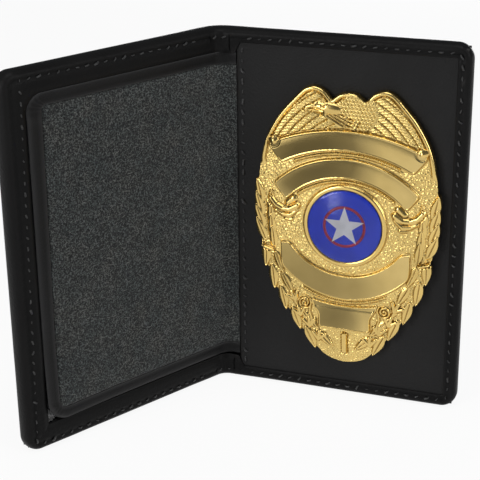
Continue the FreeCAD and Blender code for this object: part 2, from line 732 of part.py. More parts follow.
CATCH_HALF = "(ring_width / 2 + running_gap + catch_jaw)"
PIN_FOOT = f"({CATCH} - {CATCH_HALF} - pin_tail)"
KNUCKLE_WALL = "((knuckle_diameter + rivet_diameter) / 4)"
pin_stem = new_body("pin_stem")
add_bar(pin_stem, "YZ_Plane", "-knuckle_width / 2", "knuckle_width", "0", JOINT, "knuckle_diameter")
add_bar(pin_stem, "XY_Plane", PIN_FOOT, f"{JOINT} - {KNUCKLE_WALL} - {PIN_FOOT}", "0", "0", "pin_diameter")
cut_bore(pin_stem, "YZ_Plane", "-knuckle_width / 2", "knuckle_width", "0", JOINT,
         "rivet_diameter + 2 * running_gap")
foot_level = -size("pin_span") / 2 - size("ring_width") / 2 - size("running_gap") - size("catch_jaw")
foot_level -= size("pin_tail")
dress(pin_stem, "Chamfer", "Size", lambda edge: edge.BoundBox.ZMax < foot_level + size("seat_gap"),
      "pin_diameter / 3")
on_badge_leaf(pin_stem, pin_place)

# Catch: two jaws, open to the back, with a turning ring between them whose gap is shut off by them
NECK_END = "(-(catch_bore + catch_diameter) / 4)"
OPENING = "(pin_diameter / 2 + running_gap)"
catch_body = pin_pad("catch_body", CATCH)
for foot in (f"({CATCH} - {CATCH_HALF})", f"({CATCH} + ring_width / 2 + running_gap)"):
    add_block(catch_body, ("-catch_bore / 2", "catch_bore / 2"), (PAD_FACE, NECK_END),
              (foot, f"{foot} + catch_jaw"))
    add_bar(catch_body, "XY_Plane", foot, "catch_jaw", "0", "0", "catch_diameter")
cut_bore(catch_body, "XY_Plane", f"{CATCH} - {CATCH_HALF}", f"2 * {CATCH_HALF}", "0", "0", "catch_bore")
cut_slot(catch_body, f"{CATCH} - {CATCH_HALF}", f"2 * {CATCH_HALF}", (f"-{OPENING}", OPENING),
         ("0", "catch_diameter"))
on_badge_leaf(catch_body, pin_place)

RING_FOOT = f"({CATCH} - ring_width / 2)"
catch_ring = new_body("catch_ring")
add_bar(catch_ring, "XY_Plane", RING_FOOT, "ring_width", "0", "0", "catch_diameter")
add_block(catch_ring, ("-ring_tab", "0"), ("-tab_width / 2", "tab_width / 2"),
          (RING_FOOT, f"{RING_FOOT} + ring_width"))
cut_bore(catch_ring, "XY_Plane", RING_FOOT, "ring_width", "0", "0", "catch_bore")
cut_slot(catch_ring, RING_FOOT, "ring_width", ("0", "catch_diameter"), (f"-{OPENING}", OPENING))
on_badge_leaf(catch_ring, pin_place)

# Stand the wallet with the middle of its footprint at the origin
doc.recompute()
boxes = [piece.Shape.optimalBoundingBox(False, False) for piece in sub_parts]
set_size("axis_x", -(min(box.XMin for box in boxes) + max(box.XMax for box in boxes)) / 2)
set_size("axis_y", -(min(box.YMin for box in boxes) + max(box.YMax for box in boxes)) / 2)

for item in doc.Objects:
    if "Invalid" in item.State or "Error" in item.State:
        raise RuntimeError(f"{item.Label}: {item.State}")
os.makedirs("parts", exist_ok=True)
for piece in sub_parts:
    if piece.Shape.isNull() or not piece.Shape.isValid() or len(piece.Shape.Solids) != 1:
        raise RuntimeError(f"{piece.Label}: not one sound solid")
    piece.Shape.exportStep(f"parts/{piece.Label}.step")
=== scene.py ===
"""A bifold leather badge wallet that stands open: the pieces that show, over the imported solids.

Sizes are in millimetres until a piece is made. A point of a leaf is (distance from the hinge axis, depth
behind the axis, height).
"""
import json
from math import acos, asin, atan2, copysign, cos, hypot, pi, radians, sin, sqrt, tan

import bmesh
import bpy
import numpy as np
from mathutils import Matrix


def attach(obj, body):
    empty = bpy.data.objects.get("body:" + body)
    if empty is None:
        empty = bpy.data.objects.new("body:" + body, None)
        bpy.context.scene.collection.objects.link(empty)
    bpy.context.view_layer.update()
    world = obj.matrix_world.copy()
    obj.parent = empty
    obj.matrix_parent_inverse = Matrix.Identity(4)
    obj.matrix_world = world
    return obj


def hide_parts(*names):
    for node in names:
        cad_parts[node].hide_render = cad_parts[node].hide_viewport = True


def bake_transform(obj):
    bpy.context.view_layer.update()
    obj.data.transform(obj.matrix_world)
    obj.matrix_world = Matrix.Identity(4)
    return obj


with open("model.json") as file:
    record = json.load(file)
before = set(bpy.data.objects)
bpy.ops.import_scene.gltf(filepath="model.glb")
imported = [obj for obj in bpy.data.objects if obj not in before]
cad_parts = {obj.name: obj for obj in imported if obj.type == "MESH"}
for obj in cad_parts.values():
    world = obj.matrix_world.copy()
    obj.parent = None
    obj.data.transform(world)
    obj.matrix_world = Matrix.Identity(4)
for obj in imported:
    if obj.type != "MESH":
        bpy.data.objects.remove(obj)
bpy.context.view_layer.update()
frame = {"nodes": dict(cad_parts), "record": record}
rng = np.random.default_rng(11)

# Wallet sizes, the same as in the solids
MM = 0.001
HEIGHT = 106.0
REACH = 68.4
THICK = 6.0
DEPTH = 8.2
LEATHER = 1.0
SHEET = 0.4
FIT = 0.2
CORNER = 4.5
BACK_HEM = 3.8
FRONT_HEM = 7.1
SPINE_RADIUS = 9.0
BADGE_TURN = radians(19.7)
ID_TURN = radians(41.5)
HALF_BEND = (BADGE_TURN + ID_TURN) / 2
STEEP = tan(radians(36.0))
FACE = DEPTH - THICK
PANEL_FACE = FACE + LEATHER
PANEL_START = 3.4
WINDOW_FACE = PANEL_FACE + 1.5
FLAP_LEVEL = 3.6
FLAP_REACH = 61.7
FLAP_LOW = 7.6
FLAP_HIGH = 99.3
FLAP_BORDER = 3.4
FLAP_CORNERS = (6.4, 5.0)
HINGE_RADIUS = 5.0
BADGE_REACH = 35.9
BADGE_RISE = 51.4
PIN_SPAN = 32.0
PIN_SLOT = (2.4, 3.4)

# Stitch pitch, seam's inset, thinning of a hem's end, rolled edge and sharpest corner
PITCH = 2.9
SEAM = 2.4
SKIVE = 0.55
EDGE_ROLL = 2.3
SHARP = 0.35

fold = next(joint for joint in frame["record"]["behaviour"]["joints"] if joint["name"] == "fold")
AXIS = np.array(fold["pos_m"][:2]) / MM
LEAVES = {"badge": (1, -BADGE_TURN), "id": (-1, ID_TURN)}


def on_leaf(points, leaf):
    """Points of a leaf, in the row frame and in metres."""
    points = np.asarray(points, float)
    side, turn = LEAVES[leaf]
    across = side * points[..., 0]
    depth = points[..., 1]
    x = AXIS[0] + across * cos(turn) - depth * sin(turn)
    y = AXIS[1] + across * sin(turn) + depth * cos(turn)
    return np.stack([x, y, points[..., 2]], -1) * MM


def joined(*values):
    """Points from their coordinates."""
    return np.stack(np.broadcast_arrays(*values), -1)


def lengths(line):
    """Distance along a line, at each of its points."""
    return np.concatenate([[0], np.cumsum(np.linalg.norm(np.diff(line, axis=0), axis=1))])


def ease(value, low, high):
    """A smooth step from 0 at low to 1 at high."""
    share = np.clip((value - low) / (high - low), 0, 1)
    return share * share * (3 - 2 * share)


def ripple(along, up, seed, size, wave, count=6):
    """Gentle unevenness, made of a few long waves."""
    numbers = np.random.default_rng(seed)
    total = np.zeros(np.broadcast(along, up).shape)
    for _ in range(count):
        angle = numbers.uniform(0, 2 * pi)
        pitch = wave * numbers.uniform(0.6, 1.7)
        phase = numbers.uniform(0, 2 * pi)
        total = total + np.sin((along * cos(angle) + up * sin(angle)) * 2 * pi / pitch + phase)
    return size * total / count


def grid_faces(rows, columns):
    """Quads of a grid of points."""
    index = np.arange(rows * columns).reshape(rows, columns)
    return np.stack([index[:-1, :-1], index[:-1, 1:], index[1:, 1:], index[1:, :-1]], -1).reshape(-1, 4)


def tube_faces(rings, sides, count):
    """Quads of some tubes of the same size."""
    index = np.arange(rings * sides).reshape(rings, sides)
    onward = np.roll(index, -1, 1)
    tube = np.stack([index[:-1], onward[:-1], onward[1:], index[1:]], -1).reshape(-1, 4)
    return np.concatenate([tube + rings * sides * number for number in range(count)])


def slab_faces(rows, columns, keep=None):
    """Faces of a thin sheet: a front grid, a back grid and four walls."""
    front = grid_faces(rows, columns)
    if keep is not None:
        front = front[keep.ravel()]
    shift = rows * columns
    index = np.arange(shift).reshape(rows, columns)
    border = np.concatenate([index[0], index[1:, -1], index[-1, -2::-1], index[-2:0:-1, 0]])
    following = np.roll(border, -1)
    walls = np.stack([border, border + shift, following + shift, following], -1)
    return np.concatenate([front, front[:, ::-1] + shift, walls])


def new_piece(name, points, faces, material):
    """A smooth mesh piece whose faces look outward."""
    mesh = bpy.data.meshes.new(name)
    corners = [list(map(int, face)) for face in faces]
    mesh.from_pydata(np.asarray(points).reshape(-1, 3).tolist(), [], corners)
    mesh.materials.append(material)
    work = bmesh.new()
    work.from_mesh(mesh)
    bmesh.ops.recalc_face_normals(work, faces=work.faces)
    work.to_mesh(mesh)
    work.free()
    mesh.polygons.foreach_set("use_smooth", np.ones(len(mesh.polygons), bool))
    mesh.update()
    piece = bpy.data.objects.new(name, mesh)
    bpy.context.scene.collection.objects.link(piece)
    return piece


def surface(name, rows, material, capped=False):
    """A piece through rows of points, with one face that closes the last row if it is capped."""
    count, wide = np.shape(rows)[:2]
    faces = list(grid_faces(count, wide))
    if capped:
        faces.append(range((count - 1) * wide, count * wide))
    return new_piece(name, rows, faces, material)


# Materials: how the middle range of a texture spreads over two tones
CLOUD = (0.3, 0.7)
WEAVE = (0.2, 0.8)


def add(tree, kind, places=(), **values):
    """A new node's outputs; values and other nodes' outputs go to its inputs and settings."""
    node = tree.nodes.new(f"ShaderNode{kind}")
    for key, value in {**dict(places), **values}.items():
        if isinstance(key, str) and key not in node.inputs:
            setattr(node, key, value)
        elif isinstance(value, bpy.types.NodeSocket):
            tree.links.new(value, node.inputs[key])
        else:
            node.inputs[key].default_value = value
    return node.outputs


def shader(name, color, roughness, metallic=0.0, **inputs):
    """A material and its node tree, with plain values set on its shader."""
    material = bpy.data.materials.new(name)
    material.use_nodes = True
    sockets = material.node_tree.nodes["Principled BSDF"].inputs
    values = {"Base_Color": (*color, 1), "Roughness": roughness, "Metallic": metallic, **inputs}
    for socket, value in values.items():
        sockets[socket.replace("_", " ")].default_value = value
    return material, material.node_tree


def object_place(tree):
    """The place in object space."""
    node = tree.nodes.get("Texture Coordinate") or tree.nodes.new("ShaderNodeTexCoord")
    return node.outputs["Object"]


def texture(tree, kind, scale, **values):
    """A procedural texture in object space."""
    outputs = add(tree, f"Tex{kind}", Vector=object_place(tree), Scale=scale, **values)
    return outputs["Distance" if kind == "Voronoi" else "Fac"]


def ramp(tree, source, *stops):
    """A colour ramp; its stops are (place, grey or colour)."""
    color = add(tree, "ValToRGB", Fac=source)["Color"]
    elements = color.node.color_ramp.elements
    while len(elements) < len(stops):
        elements.new(0.5)
    for element, (place, tone) in zip(elements, stops):
        element.position = place
        element.color = (*tone, 1) if isinstance(tone, tuple) else (tone, tone, tone, 1)
    return color


def by_edge(tree, *stops):
    """A colour ramp from hollows, below one half, to edges, above it."""
    return ramp(tree, add(tree, "NewGeometry")["Pointiness"], *stops)


def between(tree, source, low, high, stops=CLOUD):
    """A grey or colour that goes from one to another."""
    return ramp(tree, source, *zip(stops, (low, high)))


def varied(tree, source, color, low, high):
    """A colour that goes from a darker to a lighter share of itself."""
    return between(tree, source, *(tuple(min(1.0, share * part) for part in color) for share in (low, high)))


def mixed(tree, blend, factor, first, second):
    """Two colours mixed or multiplied."""
    return add(tree, "Mix", {0: factor, 6: first, 7: second}, data_type="RGBA", blend_type=blend)[2]


def worked_out(tree, operation, first, second):
    """A value worked out from two others."""
    return add(tree, "Math", {0: first, 1: second}, operation=operation)[0]


def dress(material, tone=None, gloss=None, layers=()):
    """Feeds a shader's colour, roughness and bump layers of (height, strength, distance)."""
    tree = material.node_tree
    normal = None
    for height, strength, distance in layers:
        below = {"Normal": normal} if normal else {}
        normal = add(tree, "Bump", below, Height=height, Strength=strength, Distance=distance)["Normal"]
    for socket, source in (("Base Color", tone), ("Roughness", gloss), ("Normal", normal)):
        if source:
            tree.links.new(source, tree.nodes["Principled BSDF"].inputs[socket])
    return material


def leather(name, base, edge_wear_and_highlight, roughness, grain, gleam):
    """Black leather: pebbles, fine pores, uneven gloss and paler edges, partly wear and partly a painted
    highlight.
    """
    material, tree = shader(name, base, roughness, Specular_IOR_Level=gleam)
    pebble = texture(tree, "Voronoi", grain, feature="SMOOTH_F1", Smoothness=0.6)
    pores = texture(tree, "Noise", grain * 3.2, Detail=4.0, Roughness=0.6)
    cloud = texture(tree, "Noise", 45.0, Detail=3.0)
    # Paler colour on edges by pointiness: wear, and a painted highlight where the edge colour is light
    edge_wear_and_highlight_share = by_edge(tree, (0.50, 0.0), (0.60, 1.0))
    tone = mixed(tree, "MIX", edge_wear_and_highlight_share, varied(tree, cloud, base, 0.8, 1.25), (*edge_wear_and_highlight, 1))
    gloss = between(tree, cloud, roughness - 0.06, roughness + 0.08)
    return dress(material, tone, gloss, [(pebble, 0.35, 0.0002), (pores, 0.25, 0.00008)])


def felt_material():
    """Dark grey felt with pale fibres, tinted in patches."""
    material, tree = shader("felt", (0.03, 0.032, 0.03), 0.95, Sheen_Weight=0.15, Sheen_Roughness=0.5)
    fibre = texture(tree, "Noise", 2300.0, Detail=3.0, Roughness=0.65, Distortion=0.6)
    streak = texture(tree, "Wave", 700.0, Distortion=14.0, Detail=4.0)
    patch = texture(tree, "Noise", 150.0, Detail=4.0)
    pale = ramp(tree, fibre, (0.42, (0.002, 0.0025, 0.0025)), (0.50, (0.012, 0.0132, 0.0128)),
                (0.60, (0.12, 0.126, 0.121)))
    tint = ramp(tree, patch, (0.34, (0.66, 0.74, 0.76)), (0.5, (0.86, 0.9, 0.9)), (0.66, (1.0, 0.98, 0.94)))
    tone = mixed(tree, "MULTIPLY", 1.0, pale, tint)
    return dress(material, tone, layers=[(fibre, 0.8, 0.0003), (streak, 0.3, 0.0002)])


def cloth_material():
    """Black woven lining."""
    material, tree = shader("lining", (0.012, 0.012, 0.013), 0.8, Sheen_Weight=0.2)
    threads = [texture(tree, "Wave", 900.0, bands_direction=way, Distortion=0.4) for way in "ZX"]
    tone = between(tree, threads[0], 0.008, 0.02, WEAVE)
    return dress(material, tone, layers=[(thread, 0.5, 0.0001) for thread in threads])


def gold_material(name, color, roughness, grain, depth):
    """Plated metal: fine grain, a slightly varied tone, painted shade in its hollows and a faint painted
    highlight on its edges.
    """
    material, tree = shader(name, color, roughness, 1.0)
    speck = texture(tree, "Noise", grain, Detail=3.0, Roughness=0.6)
    cloud = texture(tree, "Noise", 140.0, Detail=2.0)
    # Painted shade: hollows darkened by pointiness, and edges made a little lighter as a painted highlight
    painted_hollow_shade = by_edge(tree, (0.42, (0.26, 0.18, 0.09)), (0.486, (0.92, 0.9, 0.86)), (0.52, 1.0))
    tone = mixed(tree, "MULTIPLY", 1.0, varied(tree, cloud, color, 0.9, 1.06), painted_hollow_shade)
    gloss = between(tree, speck, roughness * 0.75, roughness * 1.3)
    return dress(material, tone, gloss, [(speck, depth, 0.0001)])


# Painted shade on the ribbons and the plaque, standing in for the dim room that they mirror: across and up,
# spread and darkest share
RIBBON_PAINTED_SHADES = [(-9.5, 22.0, 20.0, 0.2), (-2.0, -27.5, 8.0, 0.54), (-8.0, -15.0, 21.0, 0.55)]


def ribbon_material():
    """Polished gold of the bare ribbons and the plaque: a tone darker than the other gold, and painted shade
    in a few darker spots, both standing in for the dim room that it mirrors.
    """
    material, tree = shader("ribbon_gold", (0.4, 0.28, 0.1), 0.24, 1.0)
    cloud = texture(tree, "Noise", 120.0, Detail=3.0)
    speck = texture(tree, "Noise", 700.0, Detail=2.0)
    tone = between(tree, cloud, (0.56, 0.41, 0.15), (0.66, 0.49, 0.19))
    # Each spot darkens the colour towards its middle: painted shade
    for across, up, spread, darkest in RIBBON_PAINTED_SHADES:
        middle = on_leaf((BADGE_REACH + across, 0.0, BADGE_RISE + up), "badge")
        gap = add(tree, "VectorMath", {0: object_place(tree), 1: middle}, operation="DISTANCE")["Value"]
        share = worked_out(tree, "DIVIDE", gap, spread * MM)
        painted_shade = ramp(tree, share, (0.25, darkest), (0.6, 0.15 + 0.9 * darkest), (1.0, 1.0))
        tone = mixed(tree, "MULTIPLY", 1.0, tone, painted_shade)
    return dress(material, tone, layers=[(speck, 0.08, 0.0001)])


def paint_material(name, color, roughness):
    """Smooth paint with a faint cloud in its colour."""
    material, tree = shader(name, color, roughness, Specular_IOR_Level=0.2)
    return dress(material, varied(tree, texture(tree, "Noise", 260.0, Detail=2.0), color, 0.88, 1.1))


def clear_material(name, tint, roughness, ior, wave):
    """Clear plastic with a slightly wavy surface."""
    material, tree = shader(name, tint, roughness, Transmission_Weight=1.0, IOR=ior)
    return dress(material, layers=[(texture(tree, "Noise", wave, Detail=2.0), 0.15, 0.0004)])


def thread_material():
    """Black waxed thread with a twist."""
    material, tree = shader("thread", (0.03, 0.03, 0.03), 0.35, Specular_IOR_Level=0.35)
    twist = texture(tree, "Wave", 1800.0, bands_direction="DIAGONAL")
    return dress(material, between(tree, twist, 0.012, 0.07, WEAVE), layers=[(twist, 0.6, 0.00015)])


COVER = leather("cover_leather", (0.0065, 0.0064, 0.0064), (0.02, 0.019, 0.019), 0.42, 1500.0, 0.07)
PANEL = leather("panel_leather", (0.012, 0.0118, 0.0118), (0.024, 0.023, 0.022), 0.48, 1700.0, 0.14)
# The flap's pale edge colour is mostly a painted highlight along its rolled edges
FLAP = leather("flap_leather", (0.006, 0.0059, 0.006), (0.075, 0.074, 0.075), 0.42, 1900.0, 0.13)
FELT = felt_material()
LINING = cloth_material()
THREAD = thread_material()
GOLD = gold_material("polished_gold", (0.73, 0.52, 0.18), 0.22, 900.0, 0.1)
STIPPLE = gold_material("stippled_gold", (0.78, 0.58, 0.21), 0.3, 2600.0, 0.7)
RIBBON_GOLD = ribbon_material()
PIN_GOLD = gold_material("pin_gold", (0.82, 0.58, 0.22), 0.25, 1200.0, 0.15)
STEEL = gold_material("pin_steel", (0.6, 0.6, 0.61), 0.28, 1500.0, 0.2)
BLUE = paint_material("blue_enamel", (0.025, 0.05, 0.5), 0.2)
RED = paint_material("red_enamel", (0.32, 0.03, 0.06), 0.25)
STAR = paint_material("star_enamel", (0.6, 0.6, 0.62), 0.35)
FIBRE = paint_material("felt_fibre", (0.22, 0.22, 0.21), 0.7)
VINYL = clear_material("clear_vinyl", (0.95, 0.96, 0.97), 0.06, 1.45, 60.0)
DOME = clear_material("clear_dome", (0.97, 0.98, 1.0), 0.09, 1.3, 30.0)

# Leaves: points along a side, up the free edge and round a corner
SIDE_STEPS = 72
UP_STEPS = 110
CORNER_STEPS = 15
inner_reach = REACH - LEATHER - FIT
inner_span = (LEATHER + FIT, HEIGHT - LEATHER - FIT)


def leaf_loop(inset, root, reach=REACH, low=0.0, high=HEIGHT, corners=(CORNER, CORNER),
              inner=(SHARP, SHARP)):
    """Points along a leaf's bottom, free side and top, a distance in from its edge."""
    deep = float(ease(inset, 1.0, FRONT_HEM))
    lower, upper = (max(outer - inset, within * deep, SHARP) for outer, within in zip(corners, inner))
    end = reach - inset
    bottom = low + inset
    top = high - inset
    quarter = np.linspace(0, pi / 2, CORNER_STEPS, endpoint=False)
    parts = [
        (np.linspace(root, end - lower, SIDE_STEPS, endpoint=False), bottom),
        (end - lower + lower * np.sin(quarter), bottom + lower - lower * np.cos(quarter)),
        (end, np.linspace(bottom + lower, top - upper, UP_STEPS, endpoint=False)),
        (end - upper + upper * np.cos(quarter), top - upper + upper * np.sin(quarter)),
        (np.linspace(end - upper, root, SIDE_STEPS + 1), top),
    ]
    return np.concatenate([joined(*part) for part in parts])


def edge_profile(hem):
    """A turned edge in section as (inset, depth), from the hem's inner end to the outer face."""
    middle = (FACE + DEPTH) / 2
    half = (DEPTH - FACE) / 2
    thin = PANEL_FACE - FACE - SKIVE
    points = [(hem - 0.05, PANEL_FACE), (hem, PANEL_FACE - 0.5 * thin),
              (hem - 0.08, PANEL_FACE - 0.8 * thin)]
    for inset in np.append(hem - 0.3, np.linspace(hem - 0.6, EDGE_ROLL + 0.3, 10)):
        points.append((inset, FACE + SKIVE * float(ease(inset, hem - 1.7, hem))))
    for angle in np.linspace(0, pi, 21):
        squared = abs(cos(angle)) ** 0.75 * copysign(1, cos(angle))
        points.append((EDGE_ROLL * (1 - sin(angle) ** 0.85), middle - half * squared))
    for inset in (EDGE_ROLL + 0.4, EDGE_ROLL + 0.9, EDGE_ROLL + 1.6, EDGE_ROLL + 2.6, 6, 9, 13, 18, 24, 31):
        points.append((inset, DEPTH))
    return points


def corner_share(along, up, reach, low, high, corner):
    """How far into a rounded corner each point is, from 0 to 1, and its angle."""
    near_top = up > (low + high) / 2
    centre_up = np.where(near_top, high - corner, low + corner)
    across = along - (reach - corner)
    rise = np.where(near_top, up - centre_up, centre_up - up)
    angle = np.arctan2(np.maximum(rise, 1e-6), np.maximum(across, 1e-6))
    return ease(across, -0.5, 1.5) * ease(rise, -0.5, 1.5), angle


# A cover's unevenness: the seam's pull and half width, the edge's slump, and the pleats' depth and rate
SEAM_PULL = 0.34
SEAM_WIDE = 0.55
SLUMP = 0.12
PLEAT = 0.28
PLEAT_RATE = 14.0
# How far the hems' ends run in under the spine's ends, and behind them
TUCK = (0.5, 0.04)


def turned_cover(name, leaf, hem, inner_corners, seed):
    """A leaf's cover with rolled edges, sewn hems and pleated corners."""
    rows = []
    for inset, depth in edge_profile(hem):
        loop = leaf_loop(inset, max(depth, FACE) * STEEP, inner=inner_corners)
        along, up = loop.T
        from_spine = ease(along, 2.0, 12.0)
        inside, angle = corner_share(along, up, REACH, 0, HEIGHT, CORNER)
        level = np.full(len(loop), depth)
        inner = depth < (FACE + DEPTH) / 2
        if inner:
            along[[0, -1]] -= TUCK[0]
            level[[0, -1]] += TUCK[1]
            flare = (FRONT_HEM - hem) * ease(inset, 2.6, hem) * (1 - ease(along, 2.8, 4.6))
            up += np.where(up < HEIGHT / 2, flare, -flare)
        sign = 1 if inner else -1
        pull = 0.75 + 0.25 * np.cos(2 * pi * lengths(loop) / PITCH)
        level += sign * (SEAM_PULL * np.exp(-((inset - SEAM) / SEAM_WIDE) ** 2) * pull)
        level += sign * SLUMP * (1 - ease(inset, 0.5, 4.0)) * from_spine
        if inner and inset > 0.6:
            pleat = PLEAT * inside * np.sin(angle * PLEAT_RATE) * ease(inset, 0.6, 2.2)
            level += np.abs(pleat) * (depth < PANEL_FACE)
        level += sign * np.abs(ripple(along, up, seed, 0.14, 34.0)) * from_spine
        rows.append(on_leaf(joined(along, level, up), leaf))
    return surface(name, rows, COVER, capped=True)


SOFT_EDGE = 0.3
EDGE_THIN = 0.4


def flat_sheet(name, leaf, root, levels, material, wave, seed, steps=(64, 90), hole=None, bulge=None):
    """A slightly uneven sheet of a leaf from a root to the cover's turned edges."""
    along = np.linspace(root, inner_reach, steps[0])
    high = np.linspace(*inner_span, steps[1])
    for line in (along, high):
        margin = min(SOFT_EDGE, line[1] - line[0])
        line[1] = line[0] + margin
        line[-2] = line[-1] - margin
    first, second = np.meshgrid(along, high, indexing="ij")
    rise = np.abs(ripple(first, second, seed, wave, 26.0))
    if bulge is not None:
        rise = rise - bulge(first, second)
    border = np.ones_like(first)
    border[[0, -1]] *= EDGE_THIN
    border[:, [0, -1]] *= EDGE_THIN
    middle = sum(levels) / 2
    half = (levels[1] - levels[0]) / 2
    front = joined(first, middle - half * border + rise, second)
    back = joined(first, middle + half * border + rise * 0.3, second)
    keep = None
    if hole is not None:
        keep = ~hole((first[:-1, :-1] + first[1:, 1:]) / 2, (second[:-1, :-1] + second[1:, 1:]) / 2)
    return new_piece(name, on_leaf([front, back], leaf), slab_faces(*first.shape, keep), material)


# How far the vinyl stands out beside the flap's rounded lower corner, and its spread along and up
BULGE = 1.4
BULGE_SPREAD = (4.5, 6.0)


def window_bulge(along, up):
    """How far the vinyl stands out, most at the hem's lower inner corner."""
    shares = ((along - REACH + FRONT_HEM) / BULGE_SPREAD[0], (up - FRONT_HEM) / BULGE_SPREAD[1])
    return BULGE * np.exp(-shares[0] ** 2 - shares[1] ** 2)


def pin_slots(along, up):
    """Where the panel is cut for the pin's two ends."""
    off = np.abs(np.abs(up - BADGE_RISE) - PIN_SPAN / 2)
    return (np.abs(along - BADGE_REACH) < PIN_SLOT[0]) & (off < PIN_SLOT[1])


HEM_CORNERS = (0.6, FLAP_CORNERS[1] + 0.4)
lining_levels = (DEPTH - LEATHER - SHEET, DEPTH - LEATHER)
lining_root = (DEPTH - LEATHER) * STEEP + FIT
window_root = (WINDOW_FACE + SHEET) * STEEP + FIT
back_cover = turned_cover("back_cover_leather", "badge", BACK_HEM, (SHARP, SHARP), 3)
front_cover = turned_cover("front_cover_leather", "id", FRONT_HEM, HEM_CORNERS, 5)
panel = flat_sheet("badge_panel_leather", "badge", PANEL_START, (PANEL_FACE, PANEL_FACE + LEATHER), PANEL,
                   0.16, 8, (110, 170), pin_slots)
back_lining = flat_sheet("back_pocket_cloth", "badge", lining_root, lining_levels, LINING, 0.05, 9)
card_lining = flat_sheet("card_pocket_cloth", "id", lining_root, lining_levels, LINING, 0.05, 10)
window = flat_sheet("card_window_vinyl", "id", window_root, (WINDOW_FACE, WINDOW_FACE + SHEET), VINYL,
                    0.12, 12, (120, 160), bulge=window_bulge)

# Card frame: a border behind the hem, in section as (inset, depth)
FRAME_OUT = 1.3
frame_front = PANEL_FACE + 0.1
frame_section = [
    (FRAME_OUT, frame_front), (FRONT_HEM - 0.4, frame_front), (FRONT_HEM - 0.1, PANEL_FACE + 0.25),
    (FRONT_HEM, PANEL_FACE + 0.6), (FRONT_HEM, WINDOW_FACE - 0.4), (FRONT_HEM - 0.2, WINDOW_FACE - 0.1),
    (FRONT_HEM - 0.5, WINDOW_FACE), (FRAME_OUT, WINDOW_FACE), (FRAME_OUT, frame_front),
]
frame_rows = []
for inset, depth in frame_section:
    along, up = leaf_loop(inset, WINDOW_FACE * STEEP + FIT, inner=HEM_CORNERS).T
    frame_rows.append(on_leaf(joined(along, depth, up), "id"))
card_frame = surface("card_frame_leather", frame_rows, PANEL)

# Spine: points along a leaf's end and round the bend, and the column at which its two halves meet
END_STEPS = 14
BEND_STEPS = 40
SPINE_SPLIT = 31
HEM_REACH = 9
CLOTH_SHARE = 0.15
CLOTH_TUCK = 3.0
CLOTH_INSET = 4
badge_along = np.array([cos(BADGE_TURN), -sin(BADGE_TURN)])
badge_out = np.array([sin(BADGE_TURN), cos(BADGE_TURN)])
id_along = np.array([-cos(ID_TURN), -sin(ID_TURN)])
id_out = np.array([-sin(ID_TURN), cos(ID_TURN)])


def bend_travel(level, other_level):
    """Distances from the axis at which lines along the two leaves, at their levels behind it, cross."""
    sides = np.column_stack([badge_along, -id_along])
    return np.linalg.solve(sides, id_out * other_level - badge_out * level)


def spine_line(depth_share, height, tuck=0.0):
    """A line round the spine from leaf to leaf, at a share of its thickness in from the outer face."""
    depth = depth_share * THICK
    level = DEPTH - depth
    radius = SPINE_RADIUS - depth
    root = level * STEEP + tuck
    travel = bend_travel(level, level)
    tangent = radius * tan(HALF_BEND)
    centre = badge_along * travel[0] + badge_out * level + badge_along * tangent - badge_out * radius
    angles = np.linspace(0, 2 * HALF_BEND, BEND_STEPS)[:, None]
    first = np.linspace(root, travel[0] + tangent, END_STEPS, endpoint=False)[:, None]
    last = np.linspace(root, travel[1] + tangent, END_STEPS, endpoint=False)[::-1, None]
    line = np.concatenate([
        badge_along * first + badge_out * level,
        centre + (badge_out * np.cos(angles) - badge_along * np.sin(angles)) * radius,
        id_along * last + id_out * level,
    ])
    return np.column_stack([line + AXIS, np.full(len(line), height)]) * MM


def soft_spine(name, section, material, tuck=0.0):
    """The bend between the leaves in two halves, one for each of the two ways that it bends."""
    rows = np.array([spine_line(share, height, tuck) for height, share in section])
    return [surface(f"{name}_badge_side", rows[:, :SPINE_SPLIT + 1], material),
            surface(f"{name}_card_side", rows[:, SPINE_SPLIT:], material)]


def bend_spine(halves):
    """Bakes the placement of the spine's two halves into their meshes; the first half lies on the badge
    leaf's side of the bend, the second on the card leaf's side.
    """
    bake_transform(halves[0])
    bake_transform(halves[1])


# The spine in section: hem, rolled lower edge, outer face, rolled upper edge and hem
hem_section = [point for point in edge_profile(FRONT_HEM) if point[0] < HEM_REACH]
spine_low = [(inset, (DEPTH - depth) / THICK) for inset, depth in hem_section]
spine_high = [(HEIGHT - inset, share) for inset, share in spine_low[::-1]]
spine_face = [(height, 0.0) for height in np.linspace(HEM_REACH, HEIGHT - HEM_REACH, 40)]
cloth_section = [(height, CLOTH_SHARE) for height in np.linspace(CLOTH_INSET, HEIGHT - CLOTH_INSET, 40)]
spine = soft_spine("spine_leather", spine_low + spine_face + spine_high, COVER)
spine_cloth = soft_spine("spine_cloth", cloth_section, LINING, CLOTH_TUCK)

# Flap: it lies on the card leaf, turns round the inside of the spine and ends at the panel's edge
FELT_RISE = 1.5
FELT_BACK = 0.6
NAP = 0.05
flap_leave, flap_arrive = bend_travel(PANEL_FACE + LEATHER, FLAP_LEVEL) + HINGE_RADIUS * tan(HALF_BEND)
flap_arc = HINGE_RADIUS * 2 * HALF_BEND
flap_end = flap_arrive - flap_arc - (PANEL_START - 0.1 - flap_leave)


def on_flap(run, rise, height):
    """Points of the flap: distance along it, rise towards the open side, and height."""
    run, rise, height = (np.array(part, float)[..., None] for part in np.broadcast_arrays(run, rise, height))
    turn = np.clip((flap_arrive - run) / HINGE_RADIUS, 0, 2 * HALF_BEND)
    before = np.maximum(run - flap_arrive, 0)
    beyond = np.maximum(flap_arrive - flap_arc - run, 0)
    centre = id_along * flap_arrive + id_out * FLAP_LEVEL - id_out * HINGE_RADIUS
    out = id_out * np.cos(turn) - id_along * np.sin(turn)
    flat = AXIS + centre + out * (HINGE_RADIUS - rise) + id_along * before + badge_along * beyond
    return np.concatenate([flat, height], -1) * MM


